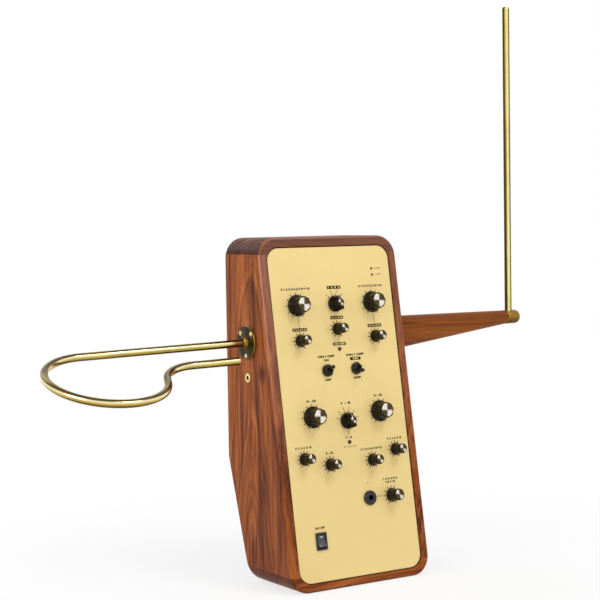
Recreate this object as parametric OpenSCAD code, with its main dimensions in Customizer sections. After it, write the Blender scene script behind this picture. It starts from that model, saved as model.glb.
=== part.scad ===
// Theremin: a wooden cabinet with a leaning control plate, a bent-tube volume loop on its left
// side and an upright pitch rod on a tapered arm on its right side.
// Millimetres. +X to the player's right, -Y to the player, +Z up.
// The origin is the mouth of the stand socket, in the middle of the flat base.

/* [Cabinet] */
// Width across both side boards
cabinet_w = 206; // [200:1:230]
// Height of the cabinet
cabinet_h = 424; // [415:1:450]
// Depth of the flat base
base_depth = 97; // [92:1:110]
// Depth at the upright part of the back
back_depth = 144; // [140:1:165]
// Height at which the back starts to slope in towards the base
kink_h = 151; // [140:1:170]
// Lean of the front face from the upright, in degrees
front_lean = 9.4; // [8:0.1:10]
// Radius of the four long outer corners
corner_r = 25; // [20:1:28]
// Radius worked along the front edges
front_edge_r = 4; // [3:0.5:5]
// Thickness of the side boards
side_t = 18; // [16:1:20]
// Thickness of the top and bottom boards
end_t = 20; // [18:1:22]
// Thickness of the upper back panel
back_t = 9; // [6:1:12]
// Thickness of the sloping metal panel that carries the rear sockets
socket_panel_t = 2; // [1.5:0.5:3]
// Width and depth of the battens behind both back panels
batten = 12; // [10:1:14]

/* [Front plate] */
// Wood left showing on either side of the plate
plate_side_margin = 12.2; // [11:0.1:14]
// Wood left showing above the plate
plate_top_margin = 12; // [11:0.5:14]
// Wood left showing below the plate
plate_bottom_margin = 10.8; // [10:0.1:13]
// Thickness of the plate
plate_t = 2.5; // [2:0.5:3]
// Depth of the plate's face below the wood around it
plate_recess = 1; // [0.5:0.1:1.5]
// Radius of the plate's corners
plate_r = 17; // [14:1:20]
// Gap all round the plate
plate_gap = 0.6; // [0.4:0.1:0.8]

/* [Knobs] */
// Diameter of the skirt of a large knob
large_skirt_d = 26.7; // [25:0.1:28]
// Diameter of the skirt of a small knob
small_skirt_d = 15.6; // [15:0.1:17]
// Diameter of the skirt of the headphone level knob
medium_skirt_d = 17.4; // [17:0.1:18]
// Diameter of the skirt of a pointer knob
pointer_skirt_d = 20.4; // [19:0.1:22]
// Height of the round knobs above the plate
knob_h = 17; // [15:0.5:19]
// Height of the pointer knobs above the plate
pointer_h = 14; // [13:0.5:16]
// Angle between two positions of a pointer knob
detent = 30; // [24:1:30]
// Flutes round a knob
flutes = 8; // [6:1:10]
// Gap between a knob and the plate
knob_gap = 0.5; // [0.4:0.1:0.8]

/* [Antennas] */
// Diameter of both antenna tubes
tube_d = 9.525; // [9:0.005:10]
// Height of both antenna sockets above the base
antenna_h = 296.4; // [285:0.1:310]
// Distance of both antenna axes behind the front edge of the base
antenna_depth = 94.5; // [88:0.5:100]
// Straight length of the loop from the wall to its bend
loop_leg = 224.5; // [200:0.5:250]
// Radius of the loop's large bend, at the tube's centre
loop_bend_r = 69; // [60:1:75]
// Angle of the loop's large bend
loop_bend = 247; // [240:1:255]
// Straight length between the two bends
loop_link = 10.5; // [5:0.5:15]
// Radius of the return bend
return_r = 55; // [45:1:60]
// Distance from the wall to the open end of the second leg
loop_end_gap = 43.5; // [35:0.5:60]
// Slope of the loop's plane, down to the front, in degrees
loop_tilt = 17.25; // [10:0.25:25]
// Droop of the loop below the horizontal, in degrees
loop_droop = 1; // [0:0.1:1.5]
// Depth of the loop's tube in its socket
loop_insert = 22; // [18:1:24]
// Distance from the cabinet's side to the pitch rod's axis
arm_reach = 211; // [190:1:230]
// Height of the arm where it meets the cabinet
arm_root_h = 44.3; // [38:0.1:50]
// Depth of the arm where it meets the cabinet, front to back
arm_root_d = 27; // [22:1:32]
// Diameter of the arm at its tip
arm_tip_d = 18.2; // [17:0.1:20]
// Whole length of the pitch rod
rod_len = 425.5; // [380:0.5:460]
// Depth of the pitch rod in its end cap
rod_insert = 15.5; // [13:0.5:16]

/* [Stand] */
// Radius of the stand socket, for a 5/8 inch stand thread
stand_r = 7.95; // [7.9:0.01:8]
// Depth of the stand socket
stand_depth = 16.5; // [14:0.5:17]

/* [Hidden] */
$fn = 48;

// Faces and edges of the cabinet
front_y = -base_depth / 2;
back_y = front_y + back_depth;
front_top_y = front_y + cabinet_h * tan(front_lean);
slope_len = cabinet_h / cos(front_lean);
inner_w = cabinet_w - 2 * side_t;
back_slope = atan((back_depth - base_depth) / kink_h);
slant_len = kink_h / cos(back_slope);

// The plate and where its controls stand, from its centre line and its bottom edge
plate_w = cabinet_w - 2 * plate_side_margin;
plate_h = slope_len - plate_top_margin - plate_bottom_margin;
controls_x = 1.8;
antenna_row = 335;
response_row = 291.6;
toggle_row = 253.2;
tone_row = 197.9;
trim_row = 148.6;
lower_trim_row = 138.6;
headphone_row = 92.7;
antenna_col = 56;
tone_col = 50;
toggle_col = 21.6;
trim_col = 68;
lower_trim_col = 31.5;
// Node, kind, place across and up the plate, and the pointer's turn from upright
KNOBS = [
    ["volume_antenna_knob", "large", controls_x - antenna_col, antenna_row, 0],
    ["pitch_antenna_knob", "large", controls_x + antenna_col, antenna_row, 0],
    ["filter_knob", "large", controls_x - tone_col, tone_row, 0],
    ["delay_knob", "large", controls_x + tone_col, tone_row, 0],
    ["register_knob", "pointer", controls_x, antenna_row, detent / 2],
    ["timbre_knob", "pointer", controls_x, 189.8, detent / 2],
    ["volume_response_knob", "small", controls_x - antenna_col, response_row, 0],
    ["pitch_response_knob", "small", controls_x + antenna_col, response_row, 0],
    ["quantise_knob", "small", controls_x, 303.4, 0],
    ["brightness_knob", "small", controls_x - trim_col, trim_row, 0],
    ["wave_knob", "small", controls_x - lower_trim_col, lower_trim_row, 0],
    ["delay_feedback_knob", "small", controls_x + lower_trim_col, lower_trim_row, 0],
    ["delay_time_knob", "small", controls_x + trim_col, trim_row, 0],
    ["headphone_level_knob", "medium", 56.6, headphone_row, 0]
];
POTS = [for (k = KNOBS) if (k[1] != "pointer") k];
ROTARIES = [for (k = KNOBS) if (k[1] == "pointer") k];
BUTTONS = [[controls_x, 278.7], [controls_x, 163.6]];
TOGGLES = [[controls_x - toggle_col, toggle_row], [controls_x + toggle_col, toggle_row]];
INDICATORS = [[63, 377.2], [63, 369.3]];
headphone_at = [22.9, headphone_row];
power_at = [-54.7, 48.8];

// Shafts, bushings and nuts of the controls
shaft_r = 3;
running_gap = 0.06;
fit_gap = 0.05;
pot_bushing_r = 3.5;
pot_bushing_h = 5;
pot_nut_af = 10;
rotary_bushing_r = 4.5;
rotary_nut_af = 12;
nut_t = 2;
switch_depth = 9;
board_t = 1.6;
toggle_bushing_r = 4.4;
toggle_bore_r = 3.1;
toggle_ball_r = 2.9;
toggle_pivot_z = -1;
toggle_throw = 13;
button_r = 2.3;
button_up = 1.2;
rocker_opening = [10.8, 16.6];
rocker_tilt = 10;
rocker_pivot_z = -0.5;
socket_bore_r = 3.3;
socket_bushing_r = 5.4;
inlet_bore_r = 2.8;

// Antenna fittings
tube_r = tube_d / 2;
tube_running_gap = 0.04;
antenna_y = front_y + antenna_depth;
flange_r = 21;
flange_t = 3;
hub_r = 6.8;
hub_len = 6;
flange_screw_ring = 16.4;
flange_screw_angles = [-90, 42, 138];
bushing_h = 253;
arm_tip_r = arm_tip_d / 2;
arm_top = antenna_h + arm_root_h / 2;
arm_tip_z = arm_top - 1.4 - arm_tip_r;
rod_x = cabinet_w / 2 + arm_reach;
cap_start = rod_x - 6.5;
cap_end = rod_x + 16.5;
cap_r = arm_tip_r + 0.2;

wood = "#8a4a2b";
dark_wood = "#6e3f2c";
brass = "#c9a64b";
old_brass = "#8f7434";
black = "#1c1c1e";
steel = "#9a9ca0";

// ---- Frames ----

// Local z leaves the plate's face, x runs to the right and y runs up the slope
module on_plate(x, up) {
    translate([0, front_y, 0])
    rotate([-front_lean, 0, 0])
    translate([x, plate_recess, plate_bottom_margin + up])
    rotate([90, 0, 0])
    children();
}

// Local z leaves the sloping back, x runs to the right seen from behind, and y runs up the slope
module on_slant(x, up) {
    translate([0, base_depth / 2, 0])
    rotate([-back_slope, 0, 0])
    translate([x, 0, up])
    rotate([-90, 180, 0])
    children();
}

// Local x runs out along the loop's first leg and y runs across the loop, forwards and down
module on_loop() {
    translate([-cabinet_w / 2, antenna_y, antenna_h])
    rotate([-loop_tilt, loop_droop, 180])
    children();
}

// Local z runs out of the left side along the loop's first leg
module on_socket() {
    translate([-cabinet_w / 2, antenna_y, antenna_h])
    rotate([0, -90 - loop_droop, 0])
    children();
}

// Local z leaves the left side squarely
module on_left(y, z) {
    translate([-cabinet_w / 2, y, z])
    rotate([0, -90, 0])
    children();
}

// ---- Shapes that repeat ----

module rounded_rect(w, h, r) {
    square([w - 2 * r, h], center = true);
    square([w, h - 2 * r], center = true);
    for (sx = [-1, 1], sy = [-1, 1])
        translate([sx * (w / 2 - r), sy * (h / 2 - r)])
        circle(r = r);
}

module hex_nut(across, h, hole_r) {
    difference() {
        cylinder(d = across / cos(30), h = h, $fn = 6);
        translate([0, 0, -1])
        cylinder(r = hole_r, h = h + 2);
    }
}

module panel_screw(head_r, head_h, shank_r, shank_len) {
    rotate_extrude()
    polygon([[0, -shank_len], [shank_r, -shank_len], [shank_r, 0], [head_r, 0],
        [head_r, head_h * 0.45], [head_r * 0.72, head_h * 0.9], [0, head_h]]);
}

// Slice of the cabinet parallel to its front face, at a depth behind the face
module front_slice(inset, depth) {
    translate([0, front_y, 0])
    rotate([-front_lean, 0, 0])
    translate([0, depth, slope_len / 2 + depth * tan(front_lean)])
    rotate([90, 0, 0])
    linear_extrude(0.01)
    rounded_rect(cabinet_w - 2 * inset, slope_len - 2 * inset, corner_r - inset);
}

// The cabinet's outline seen along Y, with its front edges rounded over
module rounded_block() {
    hull() {
        for (a = [0 : 22.5 : 90])
            front_slice(front_edge_r * (1 - cos(a)), front_edge_r * (1 - sin(a)));
        translate([0, back_y + 2, cabinet_h / 2])
        rotate([90, 0, 0])
        linear_extrude(1)
        rounded_rect(cabinet_w, cabinet_h, corner_r);
    }
}

// Side view of the cabinet, a little long at the front and in height
module side_profile(w) {
    rotate([90, 0, 90])
    linear_extrude(w, center = true)
    polygon([[front_y - 1, 0], [base_depth / 2, 0], [back_y, kink_h],
        [back_y, cabinet_h + 1], [front_top_y - 1, cabinet_h + 1]]);
}

module cabinet_form() {
    intersection() {
        rounded_block();
        side_profile(cabinet_w + 10);
    }
}

// Room for the plate, let into the front edges of the boards
module plate_pocket() {
    on_plate(0, plate_h / 2)
    translate([0, 0, -plate_t])
    linear_extrude(plate_t + plate_recess + 5)
    rounded_rect(plate_w + 2 * plate_gap, plate_h + 2 * plate_gap, plate_r + plate_gap);
}

module flange_screw_places() {
    for (a = flange_screw_angles)
        on_left(antenna_y, antenna_h)
        rotate(90 - a)
        translate([flange_screw_ring, 0, flange_t])
        children();
}

module arm_bolt_places() {
    for (s = [-1, 1])
        translate([cabinet_w / 2 - side_t, antenna_y, antenna_h + s * 12])
        rotate([0, 90, 0])
        children();
}

module stand_screw_places() {
    for (a = [45 : 90 : 315])
        rotate(a)
        translate([19.5, 0, 0])
        children();
}

// Screws of the two back panels, heads on the outside
module back_screw_places() {
    x = inner_w / 2 - batten / 2;
    for (sx = [-1, 1]) {
        for (z = [kink_h + 22, (kink_h + cabinet_h - end_t) / 2, cabinet_h - end_t - 14])
            translate([sx * x, back_y, z])
            rotate([-90, 0, 0])
            children();
        for (up = [34, slant_len - 24])
            on_slant(sx * x, up)
            children();
    }
}

// ---- Cabinet ----

module left_side_board() {
    color(wood)
    difference() {
        intersection() {
            cabinet_form();
            translate([-cabinet_w / 2 - 1, front_y - 5, end_t])
            cube([side_t + 1, back_depth + 10, cabinet_h - 2 * end_t]);
        }
        plate_pocket();
        on_left(antenna_y, antenna_h)
        translate([0, 0, -side_t - 1])
        cylinder(r = 9, h = side_t + 2);
        on_left(antenna_y, bushing_h)
        translate([0, 0, -12.5])
        cylinder(r = 4.5 + fit_gap, h = 14);
        flange_screw_places()
        translate([0, 0, -18])
        cylinder(r = 1.75 + fit_gap, h = 20);
    }
}

module right_side_board() {
    color(wood)
    difference() {
        intersection() {
            cabinet_form();
            translate([cabinet_w / 2 - side_t, front_y - 5, end_t])
            cube([side_t + 1, back_depth + 10, cabinet_h - 2 * end_t]);
        }
        plate_pocket();
        arm_bolt_places()
        translate([0, 0, -1])
        cylinder(r = 3 + fit_gap, h = side_t + 2);
    }
}

module top_board() {
    color(dark_wood)
    difference() {
        intersection() {
            cabinet_form();
            translate([-cabinet_w, front_y - 5, cabinet_h - end_t])
            cube([2 * cabinet_w, back_depth + 10, end_t + 5]);
        }
        plate_pocket();
    }
}

module bottom_board() {
    color(dark_wood)
    difference() {
        intersection() {
            cabinet_form();
            translate([-cabinet_w, front_y - 5, -5])
            cube([2 * cabinet_w, back_depth + 10, end_t + 5]);
        }
        plate_pocket();
        translate([0, 0, -1])
        cylinder(r = 26 + fit_gap, h = 4);
        translate([0, 0, -1])
        cylinder(r = 11 + fit_gap, h = end_t + 2);
        stand_screw_places()
        cylinder(r = 1.6 + fit_gap, h = 15);
    }
}

module upper_back_panel() {
    color(wood)
    difference() {
        translate([-inner_w / 2, back_y - back_t, kink_h])
        cube([inner_w, back_t, cabinet_h - end_t - kink_h]);
        back_screw_places()
        translate([0, 0, -14])
        cylinder(r = 1.5 + fit_gap, h = 20);
    }
}

module rear_socket_panel() {
    color(black)
    difference() {
        on_slant(0, 0)
        translate([-inner_w / 2 + 0.3, end_t / cos(back_slope) + 0.7, -socket_panel_t])
        cube([inner_w - 0.6, slant_len - end_t / cos(back_slope) - 1.4, socket_panel_t]);
        back_screw_places()
        translate([0, 0, -14])
        cylinder(r = 1.5 + fit_gap, h = 20);
        rear_socket_places()
        translate([0, 0, -5])
        cylinder(r = socket_bushing_r + fit_gap, h = 10);
        inlet_place()
        translate([0, 0, -5])
        cylinder(r = 4 + fit_gap, h = 10);
    }
}

module back_battens() {
    color(dark_wood)
    difference() {
        for (sx = [-1, 1]) {
            translate([sx * (inner_w / 2 - batten / 2), back_y - back_t - batten / 2,
                (kink_h + 6 + cabinet_h - end_t) / 2])
            cube([batten, batten, cabinet_h - end_t - kink_h - 6], center = true);
            on_slant(sx * (inner_w / 2 - batten / 2), (end_t + slant_len) / 2 - 2)
            translate([0, 0, -socket_panel_t - batten / 2])
            cube([batten, slant_len - end_t - 22, batten], center = true);
        }
        back_screw_places()
        translate([0, 0, -14])
        cylinder(r = 1.5 + fit_gap, h = 20);
    }
}

// Three-cornered blocks glued inside the corners of the case
module corner_blocks() {
    size = 14;
    color(dark_wood)
    for (sx = [-1, 1]) {
        translate([sx * inner_w / 2, 70, cabinet_h - end_t])
        rotate([90, 0, 0])
        linear_extrude(30)
        polygon([[0, 0], [-sx * size, 0], [0, -size]]);
        translate([sx * inner_w / 2, 34, end_t])
        rotate([90, 0, 0])
        linear_extrude(40)
        polygon([[0, 0], [-sx * size, 0], [0, size]]);
    }
}

module back_screws() {
    color(steel)
    back_screw_places()
    panel_screw(3.2, 1.8, 1.5, 13);
}

// ---- Front plate and what stands on it ----

module front_plate() {
    color("#e9d593")
    difference() {
        on_plate(0, plate_h / 2)
        translate([0, 0, -plate_t])
        linear_extrude(plate_t)
        rounded_rect(plate_w, plate_h, plate_r);
        for (k = POTS) plate_hole(k[2], k[3], pot_bushing_r + fit_gap);
        for (k = ROTARIES) plate_hole(k[2], k[3], rotary_bushing_r + fit_gap);
        for (t = TOGGLES) plate_hole(t[0], t[1], toggle_bushing_r + fit_gap);
        for (b = BUTTONS) plate_hole(b[0], b[1], button_r + 0.2);
        for (i = INDICATORS) plate_hole(i[0], i[1], 1.5 + fit_gap);
        plate_hole(headphone_at[0], headphone_at[1], socket_bushing_r + fit_gap);
        on_plate(power_at[0], power_at[1])
        cube([13, 19, 4 * plate_t], center = true);
    }
}

module plate_hole(x, up, r) {
    on_plate(x, up)
    translate([0, 0, -2 * plate_t])
    cylinder(r = r, h = 4 * plate_t);
}

// Small angle brackets that hold the plate to the side boards from behind
module plate_brackets() {
    color(steel)
    for (sx = [-1, 1], up = [30, 225, 352])
        on_plate(sx * inner_w / 2, up)
        mirror([sx > 0 ? 1 : 0, 0, 0])
        translate([0, -7, -plate_t]) {
            translate([0, 0, -1.5])
            cube([6, 14, 1.5]);
            translate([0, 0, -14])
            cube([1.5, 14, 13]);
        }
}

module main_circuit_board() {
    board_w = 156;
    board_bottom = 74;
    board_top = 385;
    color("#1f5a3a")
    difference() {
        on_plate(0, (board_bottom + board_top) / 2)
        translate([0, 0, -plate_t - switch_depth - board_t / 2])
        cube([board_w, board_top - board_bottom, board_t], center = true);
        on_plate(headphone_at[0], headphone_at[1])
        translate([0, 0, -15])
        cube([17, 17, 20], center = true);
    }
}

module control_bushing(body, bushing_r, nut_af) {
    difference() {
        union() {
            translate([0, 0, -plate_t - switch_depth])
            linear_extrude(switch_depth)
            if (body == "pot") square([12, 13], center = true);
            else circle(r = 10.5);
            translate([0, 0, -plate_t])
            cylinder(r = bushing_r, h = plate_t + pot_bushing_h);
            cylinder(d = nut_af / cos(30), h = nut_t, $fn = 6);
        }
        translate([0, 0, -plate_t - switch_depth + 2])
        cylinder(r = shaft_r + running_gap, h = 30);
    }
}

module potentiometers() {
    color(steel)
    for (k = POTS)
        on_plate(k[2], k[3])
        control_bushing("pot", pot_bushing_r, pot_nut_af);
}

module rotary_switches() {
    color(steel)
    for (k = ROTARIES)
        on_plate(k[2], k[3])
        control_bushing("rotary", rotary_bushing_r, rotary_nut_af);
}

// Skirted knob with a fluted grip and a metal disc let into its top, on its own shaft
module fluted_knob(skirt_r, grip_r, disc_r, flute_r) {
    neck_r = min(grip_r + 1.2, skirt_r - 0.9);
    top_r = grip_r - 0.4;
    grip_z = 4.6;
    flute_depth = 0.26 * flute_r;
    color(black)
    difference() {
        rotate_extrude()
        polygon([[0, knob_gap], [skirt_r, knob_gap], [skirt_r, 1.8], [skirt_r - 0.7, 2.5],
            [neck_r, 3.7], [grip_r, grip_z], [top_r, knob_h - 0.8], [top_r - 0.15, knob_h - 0.4],
            [top_r - 0.5, knob_h - 0.2], [0, knob_h - 0.2]]);
        for (i = [0 : flutes - 1])
            rotate((i + 0.5) * 360 / flutes)
            translate([grip_r + flute_r - flute_depth, 0, grip_z + 0.4])
            cylinder(r = flute_r, h = knob_h);
        knob_hollow(6.1, 3.9);
        disc_seat(disc_r, knob_h);
    }
    knob_disc(disc_r, knob_h);
    knob_shaft();
}

// Pointer knob: a low skirt, and a tapered bar across it with a round boss in the middle
module pointer_knob() {
    skirt_r = pointer_skirt_d / 2;
    bar_end = 9.3;
    bar_w = 6.8;
    boss_r = 5.7;
    disc_r = 4;
    top = pointer_h - 0.2;
    color(black)
    difference() {
        union() {
            rotate_extrude()
            polygon([[0, knob_gap], [skirt_r, knob_gap], [skirt_r, 2.4], [skirt_r - 1, 3.4],
                [boss_r, 4], [boss_r - 0.5, top - 0.8], [boss_r - 0.9, top], [0, top]]);
            intersection() {
                rotate([90, 0, 90])
                linear_extrude(20, center = true)
                polygon([[-bar_end, 2], [bar_end, 2], [bar_end - 0.4, top - 1.6],
                    [bar_end - 1.4, top - 0.3], [-bar_end + 1.5, top - 0.3],
                    [-bar_end + 0.5, top - 1.6]]);
                rotate([90, 0, 0])
                linear_extrude(30, center = true)
                polygon([[-bar_w / 2, 2], [bar_w / 2, 2], [bar_w / 2 - 0.9, top],
                    [-bar_w / 2 + 0.9, top]]);
                cylinder(r = bar_end, h = 30);
            }
        }
        knob_hollow(7.2, 4.9);
        disc_seat(disc_r, pointer_h);
    }
    knob_disc(disc_r, pointer_h);
    knob_shaft();
}

// Shallow seat for a knob's disc, with a hair of room below and around it
module disc_seat(disc_r, top) {
    translate([0, 0, top - 0.7])
    cylinder(r = disc_r + 0.03, h = 2);
}

module knob_disc(disc_r, top) {
    color(steel)
    translate([0, 0, top - 0.68])
    cylinder(r = disc_r, h = 0.68);
}

module knob_hollow(nut_r, bushing_r) {
    translate([0, 0, -1])
    cylinder(r = nut_r, h = nut_t + 1.8);
    translate([0, 0, -1])
    cylinder(r = bushing_r, h = pot_bushing_h + 1.8);
}

module knob_shaft() {
    color(steel)
    translate([0, 0, -plate_t - switch_depth + 2.5])
    cylinder(r = shaft_r, h = plate_t + switch_depth - 2.5 + pot_bushing_h + 1);
}

module knob(k) {
    on_plate(k[2], k[3])
    rotate(k[4])
    if (k[1] == "large") fluted_knob(large_skirt_d / 2, 10.3, 8.1, 4.4);
    else if (k[1] == "medium") fluted_knob(medium_skirt_d / 2, 7.6, 6.1, 3);
    else if (k[1] == "small") fluted_knob(small_skirt_d / 2, 6.4, 4.9, 2.8);
    else pointer_knob();
}

module toggle_switch(at) {
    color(black)
    on_plate(at[0], at[1])
    difference() {
        union() {
            translate([0, 0, -plate_t - switch_depth / 2])
            cube([9, 13, switch_depth], center = true);
            translate([0, 0, -plate_t])
            cylinder(r = toggle_bushing_r, h = plate_t + 5.5);
            cylinder(d = 13 / cos(30), h = 3, $fn = 6);
        }
        translate([0, 0, -plate_t - 6])
        cylinder(r = toggle_bore_r, h = 20);
        translate([0, 0, 2])
        cylinder(r1 = toggle_bore_r, r2 = toggle_bore_r + 0.75, h = 3.51);
    }
}

// Bat lever on a ball, thrown up or down the plate
module toggle_lever(at, throw) {
    color(black)
    on_plate(at[0], at[1])
    translate([0, 0, toggle_pivot_z])
    rotate([-throw, 0, 0]) {
        sphere(r = toggle_ball_r);
        translate([0, 0, -4])
        cylinder(r = 1, h = 4);
        cylinder(r1 = 1.6, r2 = 2.4, h = 15.5);
        translate([0, 0, 15.5])
        sphere(r = 2.4);
    }
}

module push_switches() {
    color(black)
    for (b = BUTTONS)
        on_plate(b[0], b[1])
        difference() {
            translate([0, 0, -plate_t - switch_depth / 2])
            cube([9, 9, switch_depth], center = true);
            translate([0, 0, -plate_t - 5.5])
            cylinder(r = button_r + 0.1, h = 10);
        }
}

module push_button(at) {
    color("#3a2a1c")
    on_plate(at[0], at[1])
    rotate_extrude()
    polygon([[0, -6], [button_r, -6], [button_r, button_up - 0.5], [button_r - 0.5, button_up],
        [0, button_up]]);
}

module indicator(at) {
    lens_r = 1.5;
    color("#5a3a20")
    on_plate(at[0], at[1])
    rotate_extrude()
    polygon([[0, -8], [lens_r, -8], [lens_r, 0.2], [lens_r * 0.7, 0.8], [0, 1.1]]);
}

module headphone_socket() {
    color(black)
    on_plate(headphone_at[0], headphone_at[1])
    socket_body(3.6, plate_t);
}

// Quarter-inch socket: square body behind the panel and a bored bushing through it
module socket_body(bushing_h, panel_t) {
    difference() {
        union() {
            translate([0, 0, -panel_t - 12])
            cube([15, 15, 24], center = true);
            translate([0, 0, -panel_t])
            cylinder(r = socket_bushing_r, h = panel_t + bushing_h);
        }
        translate([0, 0, -panel_t - 22])
        cylinder(r = socket_bore_r, h = 40);
    }
}

module headphone_socket_nut() {
    color(black)
    on_plate(headphone_at[0], headphone_at[1])
    difference() {
        rotate_extrude()
        polygon([[socket_bushing_r + fit_gap, 0], [9.1, 0], [9.1, 2], [8.2, 3.2],
            [socket_bushing_r + fit_gap, 3.2]]);
        for (a = [0 : 30 : 330])
            rotate(a)
            translate([9.7, 0, -1])
            cylinder(r = 1.1, h = 6, $fn = 24);
    }
}

module power_switch_housing() {
    color(black)
    on_plate(power_at[0], power_at[1])
    difference() {
        union() {
            translate([0, 0, 0.9])
            cube([15.4, 21, 1.8], center = true);
            translate([0, 0, -7])
            cube([12.8, 18.8, 14.2], center = true);
        }
        translate([0, 0, -8])
        translate([-rocker_opening[0] / 2, -rocker_opening[1] / 2, 0])
        cube([rocker_opening[0], rocker_opening[1], 20]);
    }
}

module power_rocker() {
    half = 7.4;
    color("#2c3038")
    on_plate(power_at[0], power_at[1])
    translate([0, 0, rocker_pivot_z])
    rotate([-rocker_tilt, 0, 0])
    rotate([90, 0, 90])
    linear_extrude(rocker_opening[0] - 0.6, center = true)
    polygon([[-half, -2], [-half, 2.9], [0, 1.7], [half, 2.9], [half, -2], [0, -5.5]]);
}

// ---- Sockets on the sloping back ----

module rear_socket_places() {
    for (x = [-48, -24, 0])
        on_slant(x, 96)
        children();
}

module inlet_place() {
    on_slant(46, 96)
    children();
}

module rear_sockets() {
    color(black)
    rear_socket_places() {
        socket_body(4.5, socket_panel_t);
        hex_nut(14, 3, socket_bushing_r + fit_gap);
    }
}

module rear_socket_board() {
    color("#1f5a3a")
    on_slant(0, 96)
    translate([-64, -8.3 - board_t, -socket_panel_t - 26])
    cube([124, board_t, 25]);
}

module power_inlet() {
    color(black)
    inlet_place()
    difference() {
        union() {
            translate([0, 0, -socket_panel_t - 6])
            cube([13, 14, 12], center = true);
            translate([0, 0, -socket_panel_t])
            cylinder(r = 4, h = socket_panel_t + 3);
            cylinder(d = 12 / cos(30), h = 2, $fn = 6);
        }
        translate([0, 0, -socket_panel_t - 7.5])
        cylinder(r = inlet_bore_r, h = 30);
    }
}

// ---- Antenna tuning boards ----

coil_board_x = inner_w / 2 - 8;
coil_board_y = 30;
coil_board_z = 318;
coil_board_size = [board_t, 40, 60];

module coil_board(side) {
    translate([side * coil_board_x - board_t / 2, coil_board_y, coil_board_z])
    cube(coil_board_size);
}

module coil_set(side, places) {
    for (p = places)
        translate([side * (coil_board_x - board_t / 2), coil_board_y + p[0], coil_board_z + p[1]])
        rotate([0, -side * 90, 0]) {
            cylinder(r = 8, h = 1.5);
            translate([0, 0, 1.5])
            cylinder(r = 6.5, h = 9);
            translate([0, 0, 10.5])
            cylinder(r = 8, h = 1.5);
        }
}

module coil_board_posts() {
    color(steel)
    for (side = [-1, 1], y = [4, 36], z = [4, 56])
        translate([side * (coil_board_x + board_t / 2), coil_board_y + y, coil_board_z + z])
        rotate([0, side * 90, 0])
        cylinder(r = 2.5, h = inner_w / 2 - coil_board_x - board_t / 2);
}

module volume_coil_board() {
    color("#1f5a3a")
    coil_board(-1);
}

module pitch_coil_board() {
    color("#1f5a3a")
    coil_board(1);
}

module volume_coils() {
    color("#b5642a")
    coil_set(-1, [[20, 14], [20, 34]]);
}

module pitch_coils() {
    color("#b5642a")
    coil_set(1, [[10, 14], [30, 14], [10, 40], [30, 40]]);
}

// ---- Stand socket ----

module stand_socket() {
    color(steel)
    difference() {
        union() {
            cylinder(r = 26, h = 3);
            cylinder(r = 11, h = end_t - 1);
        }
        translate([0, 0, -1])
        cylinder(r = stand_r, h = stand_depth + 1);
        stand_screw_places() {
            translate([0, 0, -1])
            cylinder(r = 3.2 + fit_gap, h = 2.6);
            cylinder(r = 1.6 + fit_gap, h = 5);
        }
    }
}

module stand_socket_screws() {
    color(black)
    stand_screw_places() {
        translate([0, 0, 0.2])
        cylinder(r = 3.2, h = 1.4);
        translate([0, 0, 1.6])
        cylinder(r = 1.6, h = 12);
    }
}

// ---- Volume antenna ----

module volume_flange() {
    color(old_brass)
    difference() {
        union() {
            on_left(antenna_y, antenna_h)
            rotate_extrude()
            polygon([[0, 0], [flange_r, 0], [flange_r, flange_t - 0.8],
                [flange_r - 0.8, flange_t], [0, flange_t]]);
            on_socket() {
                cylinder(r = hub_r, h = flange_t + hub_len);
                translate([0, 0, -loop_insert - 3])
                cylinder(r = 8, h = loop_insert + 4);
            }
        }
        on_socket()
        translate([0, 0, -loop_insert])
        cylinder(r = tube_r + tube_running_gap, h = 60);
        set_screw_place()
        cylinder(r = 1.5 + fit_gap, h = 10);
        flange_screw_places() {
            translate([0, 0, -1.2])
            cylinder(r = 2.9 + fit_gap, h = 5);
            translate([0, 0, -10])
            cylinder(r = 1.75 + fit_gap, h = 12);
        }
    }
}

// Across the hub, from the tube's surface out to the front and a little up
module set_screw_place() {
    on_socket()
    rotate(198)
    translate([0, 0, flange_t + 2.6])
    rotate([90, 0, 0])
    translate([0, 0, tube_r])
    children();
}

module volume_set_screw() {
    color(steel)
    set_screw_place()
    difference() {
        translate([0, 0, 0.2])
        cylinder(r = 1.5, h = 1.6);
        translate([0, 0, 0.9])
        cylinder(r = 0.8, h = 3, $fn = 6);
    }
}

module volume_flange_screws() {
    color(brass)
    flange_screw_places()
    difference() {
        union() {
            translate([0, 0, -1.2])
            cylinder(r = 2.9, h = 1.7);
            translate([0, 0, -15])
            cylinder(r = 1.75, h = 14);
        }
        translate([0, 0, 0.5])
        cube([7, 0.8, 1], center = true);
    }
}

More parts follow.
